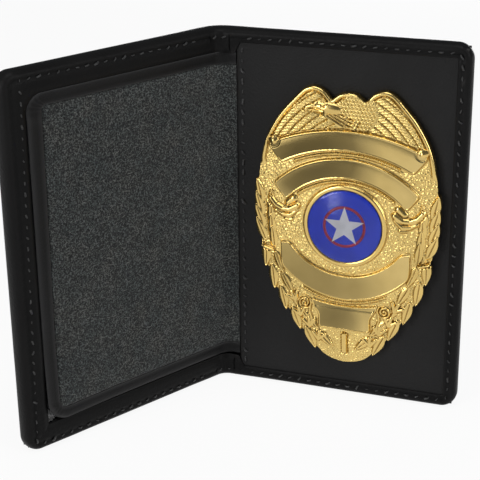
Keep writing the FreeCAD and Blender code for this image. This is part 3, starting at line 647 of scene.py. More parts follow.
def flap_swell(run, height):
    """How much the soft flap stands up, most at the free lower corner."""
    corner = ease(run, 38.0, FLAP_REACH) * ease(-height, -30.0, -FLAP_LOW)
    return 0.75 * corner + np.abs(ripple(run, height, 21, 0.22, 40.0))


def root_thin(run):
    """How thick the flap is, as a share, where it goes round the spine to the panel's edge."""
    return 0.62 + 0.38 * ease(run, flap_end, flap_end + 7.0)


def border_lean(run, height):
    """How much wider the flap's free border is than its other borders."""
    most = np.interp(height, (FLAP_LOW, FLAP_HIGH), (0.3, 1.2))
    return most * np.interp(run, (20.0, FLAP_REACH - FLAP_BORDER), (0.0, 1.0))


def top_sink(level, height):
    """How far the flap's face sinks towards its upper edge."""
    return 0.65 * np.maximum(level - 0.9, 0) * ease(height, FLAP_HIGH - 7.5, FLAP_HIGH - 3.0)


def felt_level(run, height):
    """The felt's face, without its nap."""
    face = FELT_RISE * root_thin(run)
    return face - top_sink(face, height) + flap_swell(run, height)


def flap_slab(name, run, up, rises, material):
    """A sheet of the flap between a front and a back rise."""
    return new_piece(name, [on_flap(run, rise, up) for rise in rises], slab_faces(*run.shape), material)


# The flap's leather in section as (inset, rise): border, edge that lies on the hem, and back
flap_section = [
    (FLAP_BORDER + 0.1, 0.7), (FLAP_BORDER, 1.1), (FLAP_BORDER - 0.15, 1.36), (FLAP_BORDER - 0.5, 1.42),
    (2.2, 1.44), (1.5, 1.54), (0.9, 1.56), (0.5, 1.5), (0.22, 1.38), (0.05, 1.2), (0.0, 1.04), (0.06, 0.92),
    (0.25, 0.86), (0.55, 0.8), (0.75, 0.3), (0.9, -0.3), (1.2, -0.7),
] + [(inset, -0.8) for inset in (1.8, 3.0, 9.0, 15.0, 22.0, 30.0)]
flap_rows = []
for inset, rise in flap_section:
    run, up = leaf_loop(inset, flap_end, FLAP_REACH, FLAP_LOW, FLAP_HIGH, FLAP_CORNERS).T
    inside, angle = corner_share(run, up, FLAP_REACH, FLAP_LOW, FLAP_HIGH, FLAP_CORNERS[1])
    level = np.full(len(run), rise)
    if rise > 0:
        level = level * root_thin(run)
        level += 0.2 * np.abs(np.sin(angle * 9.0)) * inside * (0.3 < inset < FLAP_BORDER)
        level -= top_sink(level, up)
        run = run - border_lean(run, up) * ease(inset, 1.5, FLAP_BORDER - 0.5)
    flap_rows.append(on_flap(run, level + flap_swell(run, up), up))
flap_leather = surface("flap_leather_turned", flap_rows, FLAP, capped=True)

# Felt: finer points where it goes round the spine, and edges that go down behind the border
felt_run = np.concatenate([np.linspace(flap_end, 8.0, 40, endpoint=False),
                           np.linspace(8.0, FLAP_REACH - FLAP_BORDER - 0.05, 110)])
felt_up = np.linspace(FLAP_LOW + (FLAP_BORDER + 0.05), FLAP_HIGH - FLAP_BORDER - 0.05, 170)
run_grid, up_grid = np.meshgrid(felt_run, felt_up, indexing="ij")
run_grid = run_grid - border_lean(run_grid, up_grid)
nap = felt_level(run_grid, up_grid) + rng.normal(0, NAP, run_grid.shape)
nap[-1, :] -= 0.35
nap[:, [0, -1]] -= 0.35
felt_back = FELT_BACK * root_thin(run_grid) + flap_swell(run_grid, up_grid)
felt = flap_slab("flap_felt_face", run_grid, up_grid, (nap, felt_back), FELT)

# Loose fibres on the felt: short bent strands with three sides, as one mesh
FIBRES = 1100
FIBRE_STEPS = 5
FIBRE_SIDES = 3
strand = np.linspace(-0.5, 0.5, FIBRE_STEPS)
strand_round = np.arange(FIBRE_SIDES) * 2 * pi / FIBRE_SIDES
fibre_points = []
for _ in range(FIBRES):
    run = rng.uniform(felt_run[0] + 3.0, felt_run[-1] - 1.0)
    up = rng.uniform(felt_up[0] + 1.0, felt_up[-1] - 1.0)
    angle = rng.uniform(0, pi)
    length = rng.uniform(0.8, 2.6)
    bow = rng.normal(0, 0.35)
    wide = rng.uniform(0.03, 0.06)
    line_run = run + length * (strand * cos(angle) - bow * strand ** 2 * sin(angle))
    line_up = up + length * (strand * sin(angle) + bow * strand ** 2 * cos(angle))
    line_run = line_run - border_lean(line_run, line_up)
    lift = felt_level(line_run, line_up) + 0.06
    taper = wide * (1.15 - 2 * np.abs(strand))[:, None]
    fibre_points.append(on_flap(line_run[:, None], lift[:, None] + taper * np.sin(strand_round),
                                line_up[:, None] + taper * np.cos(strand_round)))
fibres = new_piece("felt_fibres", fibre_points, tube_faces(FIBRE_STEPS, FIBRE_SIDES, FIBRES), FIBRE)

# Hinge strip: as tall as the pocket under the panel, and narrower from there on so that it clears the hems
strip_run = np.linspace(flap_end - 5.0, flap_end + 9.0, 50)
run_grid, share_grid = np.meshgrid(strip_run, np.linspace(0, 1, 70), indexing="ij")
strip_low = inner_span[0] + (FRONT_HEM + 0.25 - inner_span[0]) * ease(run_grid, flap_end - 2.0, flap_end)
up_grid = strip_low + (HEIGHT - 2 * strip_low) * share_grid
flap_hinge = flap_slab("flap_hinge_leather", run_grid, up_grid, (-0.05, -0.78), FLAP)

# Stitches: a thread's rings and sides, its radius, half length and lift, and its slant across the seam
STITCH_RINGS = 9
STITCH_SIDES = 8
STITCH_RADIUS = 0.21
STITCH_HALF = 0.66
STITCH_LIFT = 0.12
SLANT = 0.35
thread_along = np.linspace(-1, 1, STITCH_RINGS)[:, None]
thread_round = np.linspace(0, 2 * pi, STITCH_SIDES, endpoint=False)
thread_radius = STITCH_RADIUS * np.sqrt(np.maximum(1 - thread_along ** 6, 0.03))
thread_lift = STITCH_LIFT - 0.42 * np.abs(thread_along) ** 3
STITCH = joined(thread_along * STITCH_HALF, thread_radius * np.cos(thread_round),
                thread_lift + thread_radius * np.sin(thread_round)).reshape(-1, 3)


def sew(name, rows, scale=1.0):
    """Stitches at places given as (point, direction along the seam, direction out of the leather)."""
    points = []
    for place, along, out in rows:
        along = along / np.linalg.norm(along)
        out = out - along * (out @ along)
        out = out / np.linalg.norm(out)
        side = np.cross(out, along)
        slant = SLANT + SLANT * rng.normal()
        size = scale * np.clip(1.0 + 0.2 * rng.normal(), 0.6, 1.4)
        turned_along = along * cos(slant) + side * sin(slant)
        turned_side = side * cos(slant) - along * sin(slant)
        points.append(place + (STITCH * size * MM) @ np.array([turned_along, turned_side, out]))
    return new_piece(name, points, tube_faces(STITCH_RINGS, STITCH_SIDES, len(points)), THREAD)


def stitch_marks(run, fewest=1):
    """Evenly spaced distances along a seam."""
    count = max(fewest, int(run[-1] / PITCH))
    return (np.arange(count) + 0.5) * run[-1] / count


def seam_places(line, level, leaf, outward, step=0.3):
    """Evenly spaced stitch places along a line of a leaf."""
    run = lengths(line)
    marks = stitch_marks(run)
    points, ahead, behind = (
        joined(np.interp(places, run, line[:, 0]), level, np.interp(places, run, line[:, 1]))
        for places in (marks, marks + step, marks - step)
    )
    world = on_leaf(points, leaf)
    out = on_leaf(points + [0, outward, 0], leaf) - world
    return list(zip(world, on_leaf(ahead, leaf) - on_leaf(behind, leaf), out))


def cover_seams(leaf, side_inset):
    """Seams round a cover, inside and outside; the side inset is (at the bottom, at the top)."""
    loop = leaf_loop(SEAM, DEPTH * STEEP)
    inset = np.interp(loop[:, 1], (0, HEIGHT), side_inset)
    loop[:, 0] = np.minimum(loop[:, 0], REACH - inset)
    return seam_places(loop, FACE + STITCH_LIFT, leaf, -1) + seam_places(loop, DEPTH - STITCH_LIFT, leaf, 1)


def spine_seams(half):
    """Stitch places round one half of the spine, at its two edges, inside and outside."""
    rows = []
    for height in (SEAM, HEIGHT - SEAM):
        for share, sign in ((1.0, 1), (0.0, -1)):
            line = spine_line(share, height)
            inward = spine_line(share + 0.2, height) - line
            run = lengths(line) / MM
            for mark in stitch_marks(run, 2):
                pick = int(np.argmin(np.abs(run - mark)))
                if (pick <= SPINE_SPLIT) == (half == 0):
                    pick = min(max(pick, 1), len(line) - 2)
                    rows.append((line[pick], line[pick + 1] - line[pick - 1], sign * inward[pick]))
    return rows


panel_seam = joined(PANEL_START + 1.7, np.linspace(4.5, HEIGHT - 4.5, 40))
badge_stitches = sew("badge_leaf_stitches", cover_seams("badge", (SEAM, SEAM)))
panel_stitches = sew("panel_stitches", seam_places(panel_seam, PANEL_FACE - 0.02, "badge", -1), 1.4)
id_stitches = sew("id_leaf_stitches", cover_seams("id", (2.6, 5.4)))
spine_stitches = [sew("spine_stitches_badge", spine_seams(0)), sew("spine_stitches_card", spine_seams(1))]

# Badge: a struck plate worked out as heights over its domed face, on a grid of cells
BADGE_DOME = 420.0
BADGE_WALL = 1.3
HALF_SIZE = (27.0, 40.8)
GRID_HALF = (28.5, 42.5)
CELL = 0.16
SEAL_LIFT = 2.0
SEAL_RADIUS = 10.5
BEZEL_RADIUS = 12.0
# Outline of the right half, in shares of the half sizes: head, wing and side
HEAD_ARC = [(0.0, 0.973), (0.09, 0.961), (0.174, 0.919)]
WING_ARC = [(0.174, 0.919), (0.26, 0.977), (0.367, 1.0), (0.455, 0.983), (0.53, 0.94)]
SIDE_CURVE = [(0.53, 0.94), (0.719, 0.794), (0.859, 0.625), (0.919, 0.446), (0.945, 0.2), (0.925, -0.05),
              (0.85, -0.29), (0.71, -0.52), (0.50, -0.74), (0.30, -0.905), (0.205, -0.963), (0.1, -0.99),
              (0.0, -1.0)]
# Materials of the badge's faces
STIPPLED = 0
POLISHED = 1
BARE_BAND = 2


def smooth_curve(shares, count=24):
    """A smooth curve through points that are given as shares of the badge's half sizes."""
    points = np.array(shares) * HALF_SIZE
    ends = np.vstack([2 * points[0] - points[1], points, 2 * points[-1] - points[-2]])
    step = np.linspace(0, 1, count, endpoint=False)[:, None]
    parts = []
    for before, first, second, after in zip(ends, ends[1:], ends[2:], ends[3:]):
        parts.append(0.5 * (2 * first + (second - before) * step
                            + (2 * before - 5 * first + 4 * second - after) * step ** 2
                            + (3 * first - before - 3 * second + after) * step ** 3))
    return np.vstack(parts + [points[-1:]])


side_line = smooth_curve(SIDE_CURVE)
right_half = np.vstack([smooth_curve(HEAD_ARC), smooth_curve(WING_ARC), side_line])
outline = np.vstack([right_half, right_half[::-1] * (-1, 1)])
grid_x, grid_z = np.meshgrid(*(np.arange(-half, half, CELL) for half in GRID_HALF), indexing="ij")
mirror_x = np.abs(grid_x)


def line_gap(line, x=mirror_x):
    """Distance of every cell to a line, by default to one on each side."""
    nearest = np.full(x.shape, 1e9)
    for (x0, z0), (x1, z1) in zip(line, line[1:]):
        dx, dz = x1 - x0, z1 - z0
        share = np.clip(((x - x0) * dx + (grid_z - z0) * dz) / max(dx * dx + dz * dz, 1e-9), 0, 1)
        nearest = np.minimum(nearest, np.hypot(x - x0 - share * dx, grid_z - z0 - share * dz))
    return nearest


def inside_of(points):
    """Which cells lie inside a closed outline."""
    inside = np.zeros(grid_x.shape, bool)
    for (x0, z0), (x1, z1) in zip(points, np.roll(points, -1, 0)):
        if z0 != z1:
            crosses = (z0 > grid_z) != (z1 > grid_z)
            inside ^= crosses & (grid_x < x0 + (grid_z - z0) * (x1 - x0) / (z1 - z0))
    return inside


def band(distance, edge):
    """1 well inside a form, 0 outside it, with a sloping edge."""
    return ease(-distance, -edge / 2, edge / 2)


def half_round(share, power=0.5):
    """1 at the middle of a rounded form, and 0 from its edge on."""
    return np.maximum(1 - share ** 2, 0) ** power


def oval(x, z, wide, tall, tilt=0.0):
    """1 at the middle of an oval, and 0 from its edge on."""
    along = (grid_x - x) * cos(tilt) + (grid_z - z) * sin(tilt)
    up = (grid_z - z) * cos(tilt) - (grid_x - x) * sin(tilt)
    return np.maximum(1 - (along / wide) ** 2 - (up / tall) ** 2, 0)


def raise_to(height, finish=POLISHED, where=True):
    """Lays a form over what is there, keeping the higher of the two."""
    higher = (height > relief + 0.02) & where
    polish[higher] = finish
    relief[higher] = height[higher]


def ridge(gap, radius, height, where=True, power=0.5):
    """Raises a rounded polished line."""
    raise_to(height * half_round(gap / radius, power), where=where)


def rim(gap, radius, height):
    """Raises a rounded polished line just inside an edge."""
    ridge(gap + radius, radius, height)


def groove(gap, deep, wide, share=1.0):
    """Cuts a soft groove where a distance is 0."""
    relief[:] -= deep * np.exp(-(gap / wide) ** 2) * share


def saw(place):
    """1 at whole numbers, and 0 halfway between them."""
    return np.abs(place % 1 - 0.5) * 2


# Stippled field
STIPPLE_HIGH = 0.14
grain = rng.normal(0, 1, grid_x.shape)
grain = (grain + np.roll(grain, 1, 0) + np.roll(grain, 1, 1) + np.roll(grain, (1, 1), (0, 1))) / 2
relief = STIPPLE_HIGH * np.clip(grain, -1.5, 1.5)
polish = np.zeros(grid_x.shape, np.int32)
plate_gap = line_gap(np.vstack([outline, outline[:1]]), grid_x) * np.where(inside_of(outline), -1, 1)
shape_gap = plate_gap.copy()

# Ribbons: upper and lower arc, each of (radius, height at the middle), reach, height of the end and arch
RIBBONS = [
    ((49.2, 29.3), (37.0, 23.6), 22.6, 23.6, 1),
    ((28.6, 21.5), (22.6, 15.8), 21.0, 12.9, 1),
    ((19.4, -12.9), (24.3, -20.3), 18.5, -4.6, -1),
]
END_SLANT = 0.80
END_ROUND = 1.0
ROPE = 0.5
ROPE_INSET = 0.9
ROPE_PITCH = 0.6
RIM = 0.3

# Wings: rows of long feathers that curve round the badge, with fine slanted barbs, inside a smooth rim
FEATHER_CENTRE = (-5.8, 11.4)
FEATHER = 1.95
FEATHER_RATE = 29.0
BARB = 1.15
WING_RIM = 0.66
top_radius, top_level = RIBBONS[0][0]
ribbon_top = top_level - top_radius + np.sqrt(top_radius ** 2 - grid_x ** 2)
wing_zone = band(plate_gap + 1.5, 0.3) * ease(grid_z - ribbon_top, 0.2, 0.7)
feather_out = mirror_x - FEATHER_CENTRE[0]
feather_up = grid_z - FEATHER_CENTRE[1]
feather_row = np.hypot(feather_out, feather_up) / FEATHER
feather_step = feather_row % 1
feather_run = np.arctan2(feather_out, feather_up) * FEATHER_RATE
barb = saw((feather_run - 1.1 * FEATHER * feather_step + 0.37 * np.floor(feather_row)) / BARB)
feathers = 0.22 + 0.16 * feather_step - 0.2 * np.exp(-((feather_step - 0.03) / 0.09) ** 2)
feathers = feathers + 0.38 * half_round(barb) * ease(feather_step, 0.05, 0.3)
raise_to(np.maximum(feathers, 0.02) * wing_zone, STIPPLED, wing_zone > 0.5)
high_edge = ease(grid_z, 17.0, 20.0)
groove(plate_gap + 1.45, 0.35, 0.2, high_edge)
raise_to(0.8 * half_round((plate_gap + WING_RIM) / WING_RIM) * high_edge)

# Eagle: a feathered breast, a grooved neck and a smooth head turned to one side
BREAST = (2.6, 34.2, 6.4, 5.8)
PLUME = 0.95
NECK = np.array([-2.6, 32.8])
NECK_ALONG = np.array([0.913, -0.408])
NECK_ACROSS = np.array([0.408, 0.913])
HEAD = (-5.4, 35.1, 4.4, 1.75, -0.1)
BEAK = [(-8.4, 35.3), (-10.4, 35.4), (-11.5, 35.0), (-11.8, 34.3)]
JAW = [(-7.2, 34.1), (-9.8, 34.3)]
# Cuts of the mouth, throat, eye and brow: line, depth and width
HEAD_CUTS = [
    ([(-10.9, 34.7), (-9.0, 34.75), (-6.8, 34.3)], 0.5, 0.2),
    ([(-9.4, 33.4), (-7.4, 33.2)], 0.4, 0.45),
    ([(-7.1, 35.6), (-6.7, 35.55)], 0.5, 0.28),
    ([(-8.2, 36.1), (-6.0, 36.25)], 0.25, 0.16),
]
above_ribbon = grid_z > ribbon_top + 0.4
breast = oval(*BREAST)
plume_side = saw(grid_x + 0.5 * (np.floor(grid_z / PLUME) % 2))
plumage = 0.6 * half_round(plume_side) * (0.25 + 0.75 * (grid_z / PLUME % 1))
plumage = (0.3 + 0.45 * np.sqrt(breast) + plumage) * ease(breast, 0.0, 0.3)
raise_to(plumage, STIPPLED, (plate_gap < -0.4) & above_ribbon)
neck = oval(*NECK, 6.3, 2.3, atan2(NECK_ALONG[1], NECK_ALONG[0]))
raise_to(0.3 + 0.85 * np.sqrt(neck), where=above_ribbon & (neck > 0))
for offset in (-1.25, -0.5, 0.25, 1.0):
    hackle = [NECK + NECK_ALONG * run + NECK_ACROSS * offset * (1 + 0.07 * run) for run in (-3.0, 0, 3, 6)]
    groove(line_gap(hackle, grid_x), 0.5, 0.22)
head = oval(*HEAD)
raise_to(0.3 + 1.2 * np.sqrt(head), where=head > 0)
ridge(line_gap(BEAK, grid_x), 0.8, 1.25)
ridge(line_gap(JAW, grid_x), 0.5, 0.9)
for line, deep, wide in HEAD_CUTS:
    groove(line_gap(line, grid_x), deep, wide)

# Laurel wreath: leaves up and down from its tie, as how many, first and last place, direction
LAURELS = [(4, 0.385, 0.51, -1), (5, 0.514, 0.82, 1)]
# Inner and outer leaf: place further on, splay, tuck, length, width and height
LEAF_ROWS = [(0.03, radians(-8), 3.4, 7.2, 2.6, 0.85), (0.0, radians(11.0), 1.3, 7.6, 2.9, 1.0)]
TIE = [(25.6, -5.2), (23.6, -6.9), (21.0, -7.6)]
TIE_RADIUS = 0.5
side_run = lengths(side_line)


def laurel(share, direction, splay, tuck, long, wide, height):
    """One leaf on each side: a ridge with a vein, whose tip may stand outside the plate."""
    marks = share * side_run[-1] + np.array([0, 0.5])
    root, ahead = joined(*(np.interp(marks, side_run, part) for part in side_line.T))
    downward = (ahead - root) / np.linalg.norm(ahead - root)
    outward = np.array([-downward[1], downward[0]])
    along = downward * direction * cos(splay) + outward * sin(splay)
    base = root - outward * tuck
    offset_x = mirror_x - base[0]
    offset_z = grid_z - base[1]
    length = (offset_x * along[0] + offset_z * along[1]) / long
    across = offset_x * along[1] - offset_z * along[0]
    inside = np.clip(length, 0, 1)
    half = wide / 2 * np.sin(pi * inside ** 0.85) ** 0.75
    past_end = np.hypot(across, np.where(length < 0, length, length - 1) * long)
    gap = np.where((length > 0) & (length < 1), (np.abs(across) - half) * 0.9, past_end)
    shape_gap[:] = np.minimum(shape_gap, gap)
    body = half_round(across / np.maximum(half, 0.05)) * (half > 0.05)
    vein = 0.35 * np.exp(-(across / 0.17) ** 2) * (inside > 0.08) * (inside < 0.9)
    raise_to((height * body * (0.4 + 0.6 * inside) - vein * body) * (gap < 0), where=gap < 0)


for count, first, last, direction in LAURELS:
    for share in np.linspace(first, last, count):
        for further, *leaf_sizes in LEAF_ROWS:
            laurel(share + further, direction, *leaf_sizes)
tie_gap = line_gap(TIE)
groove(tie_gap - TIE_RADIUS, 0.4, 0.25, shape_gap < -0.1)
ridge(tie_gap, TIE_RADIUS, 1.3, shape_gap < 0)


def from_arc(radius, level, arch):
    """Signed distance from an arc, above 0 on its outer side."""
    return np.hypot(grid_x, grid_z - level + arch * radius) - radius


for upper, lower, reach, end_level, arch in RIBBONS:
    upper_gap = from_arc(*upper, arch)
    lower_gap = from_arc(*lower, arch)
    across = np.maximum(arch * upper_gap, -arch * lower_gap)
    if arch > 0:
        end = (mirror_x - reach - END_SLANT * (grid_z - end_level)) / hypot(1, END_SLANT)
    else:
        end = np.maximum(mirror_x - reach, grid_z - end_level)
    corner = np.hypot(np.maximum(across + END_ROUND, 0), np.maximum(end + END_ROUND, 0)) - END_ROUND
    gap = np.where((across > -END_ROUND) & (end > -END_ROUND), corner, np.maximum(across, end))
    rope_gap = (arch * lower_gap + ROPE_INSET) / ROPE
    on_rope = (np.abs(rope_gap) < 1) & (mirror_x < 0.66 * reach)
    raise_to((0.66 - 0.4 * saw(grid_x / ROPE_PITCH)) * half_round(rope_gap), where=on_rope & (end < 0))
    groove(gap - 0.3, 0.35, 0.22)
    swell = 0.25 * np.clip(-upper_gap * lower_gap / 9.0, 0, 1)
    raise_to((0.7 + swell) * band(gap, 0.25), BARE_BAND, gap < 0.12)
    rim(gap, RIM, 0.95)

# Curls at the ends of the top ribbon, and the folded tails of the second as line, radius and height
CURL = (20.9, 24.6)
TAILS = [
    ([(17.0, 2.6), (15.8, 2.5)], 0.9, 0.6),
    ([(19.8, 4.8), (18.0, 3.6), (16.2, 3.4), (14.2, 5.6)], 1.0, 0.8),
    ([(15.0, 8.3), (16.4, 6.9)], 1.3, 0.75),
    ([(21.6, 7.8), (20.2, 6.1), (18.2, 5.2), (16.2, 5.2), (13.9, 6.6)], 1.05, 1.0),
]
curl = np.hypot(mirror_x - CURL[0], grid_z - CURL[1])
groove(curl - 1.7, 0.3, 0.2)
curl_rise = 0.95 + 0.3 * np.cos(np.clip(curl / 0.5, 0, 2 * pi))
raise_to(curl_rise * band(curl - 1.5, 0.3), where=curl < 1.6)
for line, radius, height in TAILS:
    tail_gap = line_gap(line)
    groove(tail_gap - radius, 0.3, 0.22)
    ridge(tail_gap, radius, height, power=0.8)

# Bezel round the seal, and the seal's flat seat
SEAT_RISE = 0.4
seal_gap = np.hypot(grid_x, grid_z - SEAL_LIFT)
bezel_half = (BEZEL_RADIUS - SEAL_RADIUS) / 2
bezel_share = (seal_gap - (BEZEL_RADIUS + SEAL_RADIUS) / 2) / bezel_half
groove(seal_gap - BEZEL_RADIUS - 0.25, 0.35, 0.2)
raise_to(0.55 + 0.45 * half_round(bezel_share), where=np.abs(bezel_share) < 1)
relief[seal_gap < SEAL_RADIUS] = SEAT_RISE

# Number plaque
PLAQUE_TOP = -22.3
PLAQUE_LOW = -30.1
PLAQUE_ROUND = 0.9
PLAQUE_RIM = 0.28
waist = 7.5 + 2.0 * ease(grid_z, -27.0, -22.0) ** 1.5
plaque_gap = np.maximum(grid_z - PLAQUE_TOP - 0.012 * grid_x ** 2, PLAQUE_LOW - grid_z)
plaque_gap = np.maximum(mirror_x - waist, plaque_gap)
corner = np.hypot(np.maximum(mirror_x - waist + PLAQUE_ROUND, 0),
                  np.maximum(PLAQUE_LOW + PLAQUE_ROUND - grid_z, 0)) - PLAQUE_ROUND
plaque_gap = np.maximum(plaque_gap, np.where(grid_z < -29.0, corner, -9.0))
groove(plaque_gap - 0.3, 0.35, 0.22)
plaque = (0.68 - 0.3 * np.exp(-((grid_z + 22.9) / 0.7) ** 2)) * band(plaque_gap, 0.25)
raise_to(plaque, BARE_BAND, plaque_gap < 0.12)
rim(plaque_gap, PLAQUE_RIM, 0.85)

# Volutes, stems and sprigs beside the plaque; a sprig is a foot and a lean
VOLUTE = (11.6, -22.8)
VOLUTE_TURNS = 2.1
STEM = [(9.9, -23.6), (10.2, -25.6), (9.4, -28.0), (10.4, -30.4)]
SPRIGS = [(14.5, -22.3, 0.5), (12.9, -27.1, 0.3), (10.2, -30.3, 0.1), (7.7, -34.3, -0.1)]
SPRIG_LONG = 2.6
turns = np.linspace(0, VOLUTE_TURNS * 2 * pi, 50)
coil = 0.15 + 1.85 * turns / turns[-1]
relief[np.hypot(mirror_x - VOLUTE[0], grid_z - VOLUTE[1]) < 2.3] -= 0.3
ridge(line_gap(joined(VOLUTE[0] - coil * np.cos(turns), VOLUTE[1] + coil * np.sin(turns))), 0.36, 0.85)
ridge(line_gap(STEM), 0.4, 0.7, plaque_gap > 0.3)
for foot_x, foot_z, lean in SPRIGS:
    for angle in (lean - 0.7, lean, lean + 0.7):
        tip = (foot_x + SPRIG_LONG * sin(angle), foot_z + SPRIG_LONG * cos(angle))
        ridge(line_gap([(foot_x, foot_z), tip]), 0.62, 0.75, (shape_gap < -0.6) & (plaque_gap > 0.4))

# Bar at the point
BAR_MIDDLE = -34.5
BAR_HALF = (0.7, 3.15)
bar_gap = np.maximum(mirror_x - BAR_HALF[0], np.abs(grid_z - BAR_MIDDLE) - BAR_HALF[1])
groove(bar_gap - 0.25, 0.3, 0.2)
raise_to(0.7 * band(bar_gap, 0.3), where=bar_gap < 0.1)

# Badge mesh: cells inside the outline, with the edge cells pulled to the outline itself
rim_radius = np.hypot(outline[:, 0], outline[:, 1]).max()
back_radius = BADGE_DOME - BADGE_WALL
BADGE_FRONT = PANEL_FACE - BADGE_WALL - (back_radius - sqrt(back_radius ** 2 - rim_radius ** 2))


def domed(x, z):
    """Points of the badge's domed face before its relief."""
    depth = BADGE_FRONT + BADGE_DOME - np.sqrt(BADGE_DOME ** 2 - x ** 2 - z ** 2)
    return joined(BADGE_REACH + x, depth, BADGE_RISE + z)


def four_sum(cells):
    """The sum of each four cells that meet."""
    return cells[:-1, :-1] + cells[1:, :-1] + cells[1:, 1:] + cells[:-1, 1:]


keep = four_sum(shape_gap) / 4 < 0
quads = grid_faces(*grid_x.shape)[keep.ravel()]
touching = four_sum(np.pad(keep, 1).astype(int))
edge = (touching > 0) & (touching < 4)
slope_x, slope_z = np.gradient(shape_gap, CELL)
pull = np.where(edge, np.clip(shape_gap, -CELL, CELL), 0) / np.maximum(slope_x ** 2 + slope_z ** 2, 0.25)
plate = domed(grid_x - pull * slope_x, grid_z - pull * slope_z)
back = (plate + (0, BADGE_WALL, 0)).reshape(-1, 3)
plate[..., 1] -= relief * np.where(edge, 0.5, 1.0)
front = plate.reshape(-1, 3)
edge_pairs = np.sort(np.stack([quads, np.roll(quads, -1, 1)], -1).reshape(-1, 2), 1)
pairs, counts = np.unique(edge_pairs, axis=0, return_counts=True)
rim_pairs = pairs[counts == 1]
used = np.unique(quads)
rim_points = np.unique(rim_pairs)
renumber = np.zeros(len(front), int)
renumber[used] = np.arange(len(used))
rim_number = np.zeros(len(front), int)
rim_number[rim_points] = len(used) + np.arange(len(rim_points))
rim_faces = np.column_stack([renumber[rim_pairs], rim_number[rim_pairs[:, ::-1]]])
badge_points = on_leaf(np.concatenate([front[used], back[rim_points]]), "badge")
badge = new_piece("badge_struck", badge_points, np.concatenate([renumber[quads], rim_faces]), STIPPLE)
badge.data.materials.append(GOLD)
badge.data.materials.append(RIBBON_GOLD)
finishes = np.concatenate([polish[:-1, :-1][keep], np.full(len(rim_faces), POLISHED)]).astype(np.int32)
badge.data.polygons.foreach_set("material_index", finishes)
badge.data.update()

# Badge back: a plain domed sheet just inside the rim
back_line = outline[::6] * 0.995
back_line = np.vstack([back_line, back_line[:1]])
back_rows = [domed(*(back_line * share).T) + (0, BADGE_WALL, 0) for share in np.linspace(1, 0.05, 12)]
badge_back = surface("badge_back_sheet", on_leaf(back_rows, "badge"), STIPPLE)

# Seal: coloured disc, red ring, star and clear dome
DISC_THICK = 0.3
RING = (6.1, 5.3)
RING_HIGH = 0.03
STAR_RADII = (5.9, 2.3)
STAR_CORNERS = 10
STAR_HIGH = 0.06
DOME_WALL = 0.15
DOME_CROWN = 0.55
SEAL_RISE = BADGE_RISE + SEAL_LIFT
seat = BADGE_FRONT - SEAT_RISE
disc_face = seat - DISC_THICK
disc_edge = SEAL_RADIUS - 0.05
ring_face = disc_face - RING_HIGH
star_face = disc_face - STAR_HIGH
dome_foot = disc_face - DOME_WALL


def on_seal(radius, depth, angle):
    """Points round the seal's axis."""
    return joined(BADGE_REACH + radius * np.cos(angle), depth, SEAL_RISE + radius * np.sin(angle))


def turned(name, section, material, segments=96):
    """A piece turned about the seal's axis from points of (radius, depth)."""
    angles = np.linspace(0, 2 * pi, segments + 1)
    return surface(name, on_leaf([on_seal(*point, angles) for point in section], "badge"), material)


disc_section = [(disc_edge, seat), (disc_edge, disc_face + 0.05), (disc_edge - 0.05, disc_face),
                (0.01, disc_face)]
seal_disc = turned("seal_disc_enamel", disc_section, BLUE)
ring_section = [(RING[0], disc_face), (RING[0], ring_face), (RING[1], ring_face), (RING[1], disc_face)]
seal_ring = turned("seal_red_ring", ring_section, RED)
star_index = np.arange(STAR_CORNERS)
star_onward = np.roll(star_index, -1)
star_reach = np.where(star_index % 2 == 0, *STAR_RADII)
star_front = on_seal(star_reach, star_face, pi / 2 + star_index * 2 * pi / STAR_CORNERS)
star_points = np.vstack([star_front, star_front + (0, STAR_HIGH, 0), on_seal(0.0, star_face - 0.02, 0.0)])
star_faces = [(*pair, 2 * STAR_CORNERS) for pair in zip(star_index, star_onward)]
star_faces += list(zip(star_index, star_index + STAR_CORNERS, star_onward + STAR_CORNERS, star_onward))
seal_star = new_piece("seal_star", on_leaf(star_points, "badge"), star_faces, STAR)
seal_star.data.polygons.foreach_set("use_smooth", np.zeros(len(seal_star.data.polygons), bool))
dome_section = [(disc_edge, disc_face - 0.005), (disc_edge, dome_foot)]
for turn in np.linspace(0.06, 1, 30):
    reach = disc_edge * cos(turn * pi / 2)
    dome_section.append((max(reach, 0.01), dome_foot - DOME_CROWN * sqrt(1 - (reach / disc_edge) ** 5)))
seal_dome = turned("seal_dome_clear", dome_section, DOME)


def stand_for(nodes):
    """A piece shows in place of solids, which are hidden."""
    if nodes:
        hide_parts(*nodes)


# Each piece goes with its body and stands for its solid
for piece, body, nodes, slot in (
    (back_cover, "badge_leaf", ["back_cover"], "cover_leather"),
    (front_cover, "id_leaf", ["front_cover"], "cover_leather"),
    (panel, "badge_leaf", ["badge_panel"], "panel_leather"),
    (back_lining, "badge_leaf", ["back_lining"], "lining"),
    (card_lining, "id_leaf", ["id_pocket_lining"], "lining"),
    (window, "id_leaf", ["id_window"], "clear_vinyl"),
    (card_frame, "id_leaf", ["id_frame"], "panel_leather"),
    (badge_stitches, "badge_leaf", [], "cover_leather"),
    (panel_stitches, "badge_leaf", [], "panel_leather"),
    (id_stitches, "id_leaf", [], "cover_leather"),
    (badge, "badge_leaf", ["badge_shield"], "gilt_brass"),
    (badge_back, "badge_leaf", [], "gilt_brass"),
    (seal_disc, "badge_leaf", ["seal_disc"], "enamel"),
    (seal_ring, "badge_leaf", [], "enamel"),
    (seal_star, "badge_leaf", [], "enamel"),
    (seal_dome, "badge_leaf", ["seal_dome"], "clear_dome"),
):
    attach(piece, body)
    stand_for(nodes)

for halves, nodes, slot in ((spine, ["spine_leather"], "cover_leather"),
                            (spine_cloth, ["spine_lining"], "lining"),
                            (spine_stitches, [], "cover_leather")):
    bend_spine(halves)
    stand_for(nodes)
    stand_for([])

